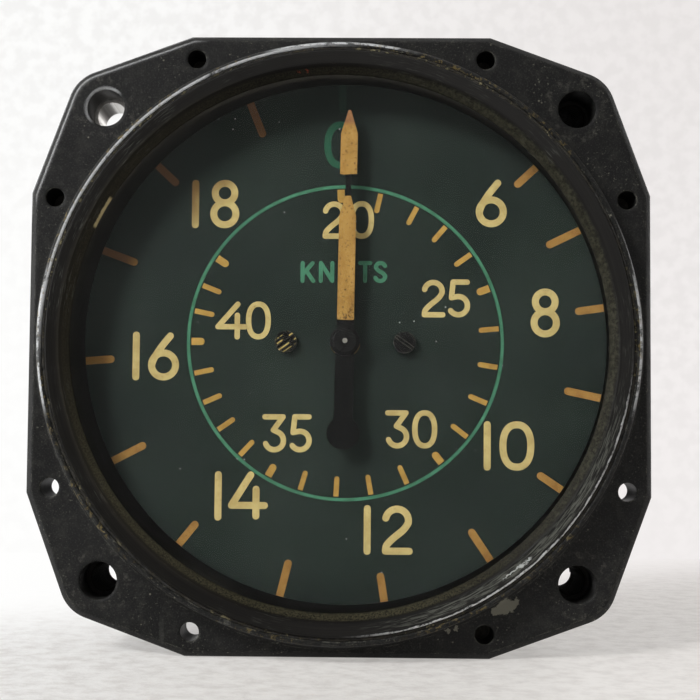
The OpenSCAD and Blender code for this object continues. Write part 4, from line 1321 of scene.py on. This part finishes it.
def build_light():
    """Three soft lamps, and a world that looks pale but lights the object only a little."""
    world = bpy.data.worlds.new("studio")
    bpy.context.scene.world = world
    world.use_nodes = True
    nodes = Nodes(world.node_tree)
    light = nodes.tree.nodes["Background"]
    light.inputs["Color"].default_value = (1.0, 0.995, 0.985, 1.0)
    light.inputs["Strength"].default_value = WORLD_LIGHT
    pale = nodes.add("Background")
    pale.inputs["Color"].default_value = (*srgb(222, 220, 218), 1.0)
    path = nodes.add("LightPath").outputs
    not_scattered = nodes.math("LESS_THAN", path["Diffuse Depth"], 0.5)
    seen = nodes.times(nodes.pale_rays(path), not_scattered)
    look = nodes.mix_shaders(seen, light.outputs["Background"], pale.outputs["Background"])
    nodes.link(look, nodes.tree.nodes["World Output"].inputs["Surface"])
    for row in LAMPS:
        lamp(*row)


# The photograph's camera: place in the face frame, turns in radians, focal length and centre in pixels
CAMERA_AT = (2.595, -14.0, 165.0)
CAMERA_TURN_X = -0.0479
CAMERA_TURN_Y = -0.0140
CAMERA_ROLL = -0.0080
FOCAL = 1251.8
CENTRE_U = 340.69
CENTRE_V = 389.42
SENSOR_W = 36.0
CLIP_START = 0.005


def build_camera():
    """The photograph's camera: close, a little below the middle and a little to the right."""
    turn = (
        Matrix.Rotation(CAMERA_ROLL, 3, "Z")
        @ Matrix.Rotation(CAMERA_TURN_X, 3, "X")
        @ Matrix.Rotation(CAMERA_TURN_Y, 3, "Y")
    )
    stand = Matrix(((1, 0, 0), (0, 0, -1), (0, 1, 0)))
    data = bpy.data.cameras.new("photo_camera")
    data.sensor_fit = "HORIZONTAL"
    data.sensor_width = SENSOR_W
    data.lens = FOCAL * SENSOR_W / IMAGE_SIDE
    data.shift_x = (IMAGE_SIDE / 2 - CENTRE_U) / IMAGE_SIDE
    data.shift_y = (CENTRE_V - IMAGE_SIDE / 2) / IMAGE_SIDE
    data.clip_start = CLIP_START
    camera = bpy.data.objects.new("photo_camera", data)
    camera.matrix_world = Matrix.Translation(on_world(*CAMERA_AT)) @ (stand @ turn.transposed()).to_4x4()
    bpy.context.scene.collection.objects.link(camera)
    bpy.context.scene.camera = camera


materials = {
    "case": case_paint(),
    "bezel": bezel_enamel(),
    "crust": sealant(),
    # Paint of the plugs that stand in for shade in the small holes.
    "dirt": shade_plug_paint(),
    "dial": dial_paint(),
    "cream": figure_paint("figure_cream", srgb(190, 172, 114), srgb(172, 152, 96), srgb(120, 94, 55)),
    "mark": figure_paint("mark_ochre", srgb(156, 119, 63), srgb(136, 100, 50), srgb(100, 72, 47)),
    "inner_mark": figure_paint("mark_yellow", srgb(172, 138, 70), srgb(152, 117, 56), srgb(122, 92, 52)),
    "green": figure_paint("figure_green", srgb(68, 122, 94), srgb(57, 104, 79), srgb(52, 96, 74)),
    # The zero and its mark in a darker green: partly dirt, partly painted shade of the bezel.
    "zero": figure_paint(
        "figure_green_dirt_and_shade", srgb(36, 82, 60), srgb(31, 72, 53), srgb(31, 72, 53), srgb(33, 52, 42)
    ),
    "pointer": pointer_paint(),
    "hub": hub_enamel(),
    "glass": glass(),
    "brass": worn_metal("brass_old", srgb(196, 160, 92), srgb(140, 104, 54), 0.32, srgb(60, 46, 28)),
    "steel": worn_metal("steel_dull", srgb(150, 151, 154), srgb(98, 98, 100), 0.36, srgb(52, 46, 40)),
    "bush": bush_metal(),
    "pale": worn_metal("spindle_pale", srgb(166, 166, 158), srgb(130, 128, 118), 0.34, srgb(90, 86, 76)),
    "screw": screw_metal(),
    "rubber": rubber(),
    "fibre": fibre(),
}
build_camera()
dress_nodes(materials)
build_scale(materials)
build_crust(materials["crust"])
build_shade_plugs(materials["dirt"])
build_threads(materials)
build_stage()
build_light()
bpy.context.scene.view_settings.view_transform = "Standard"
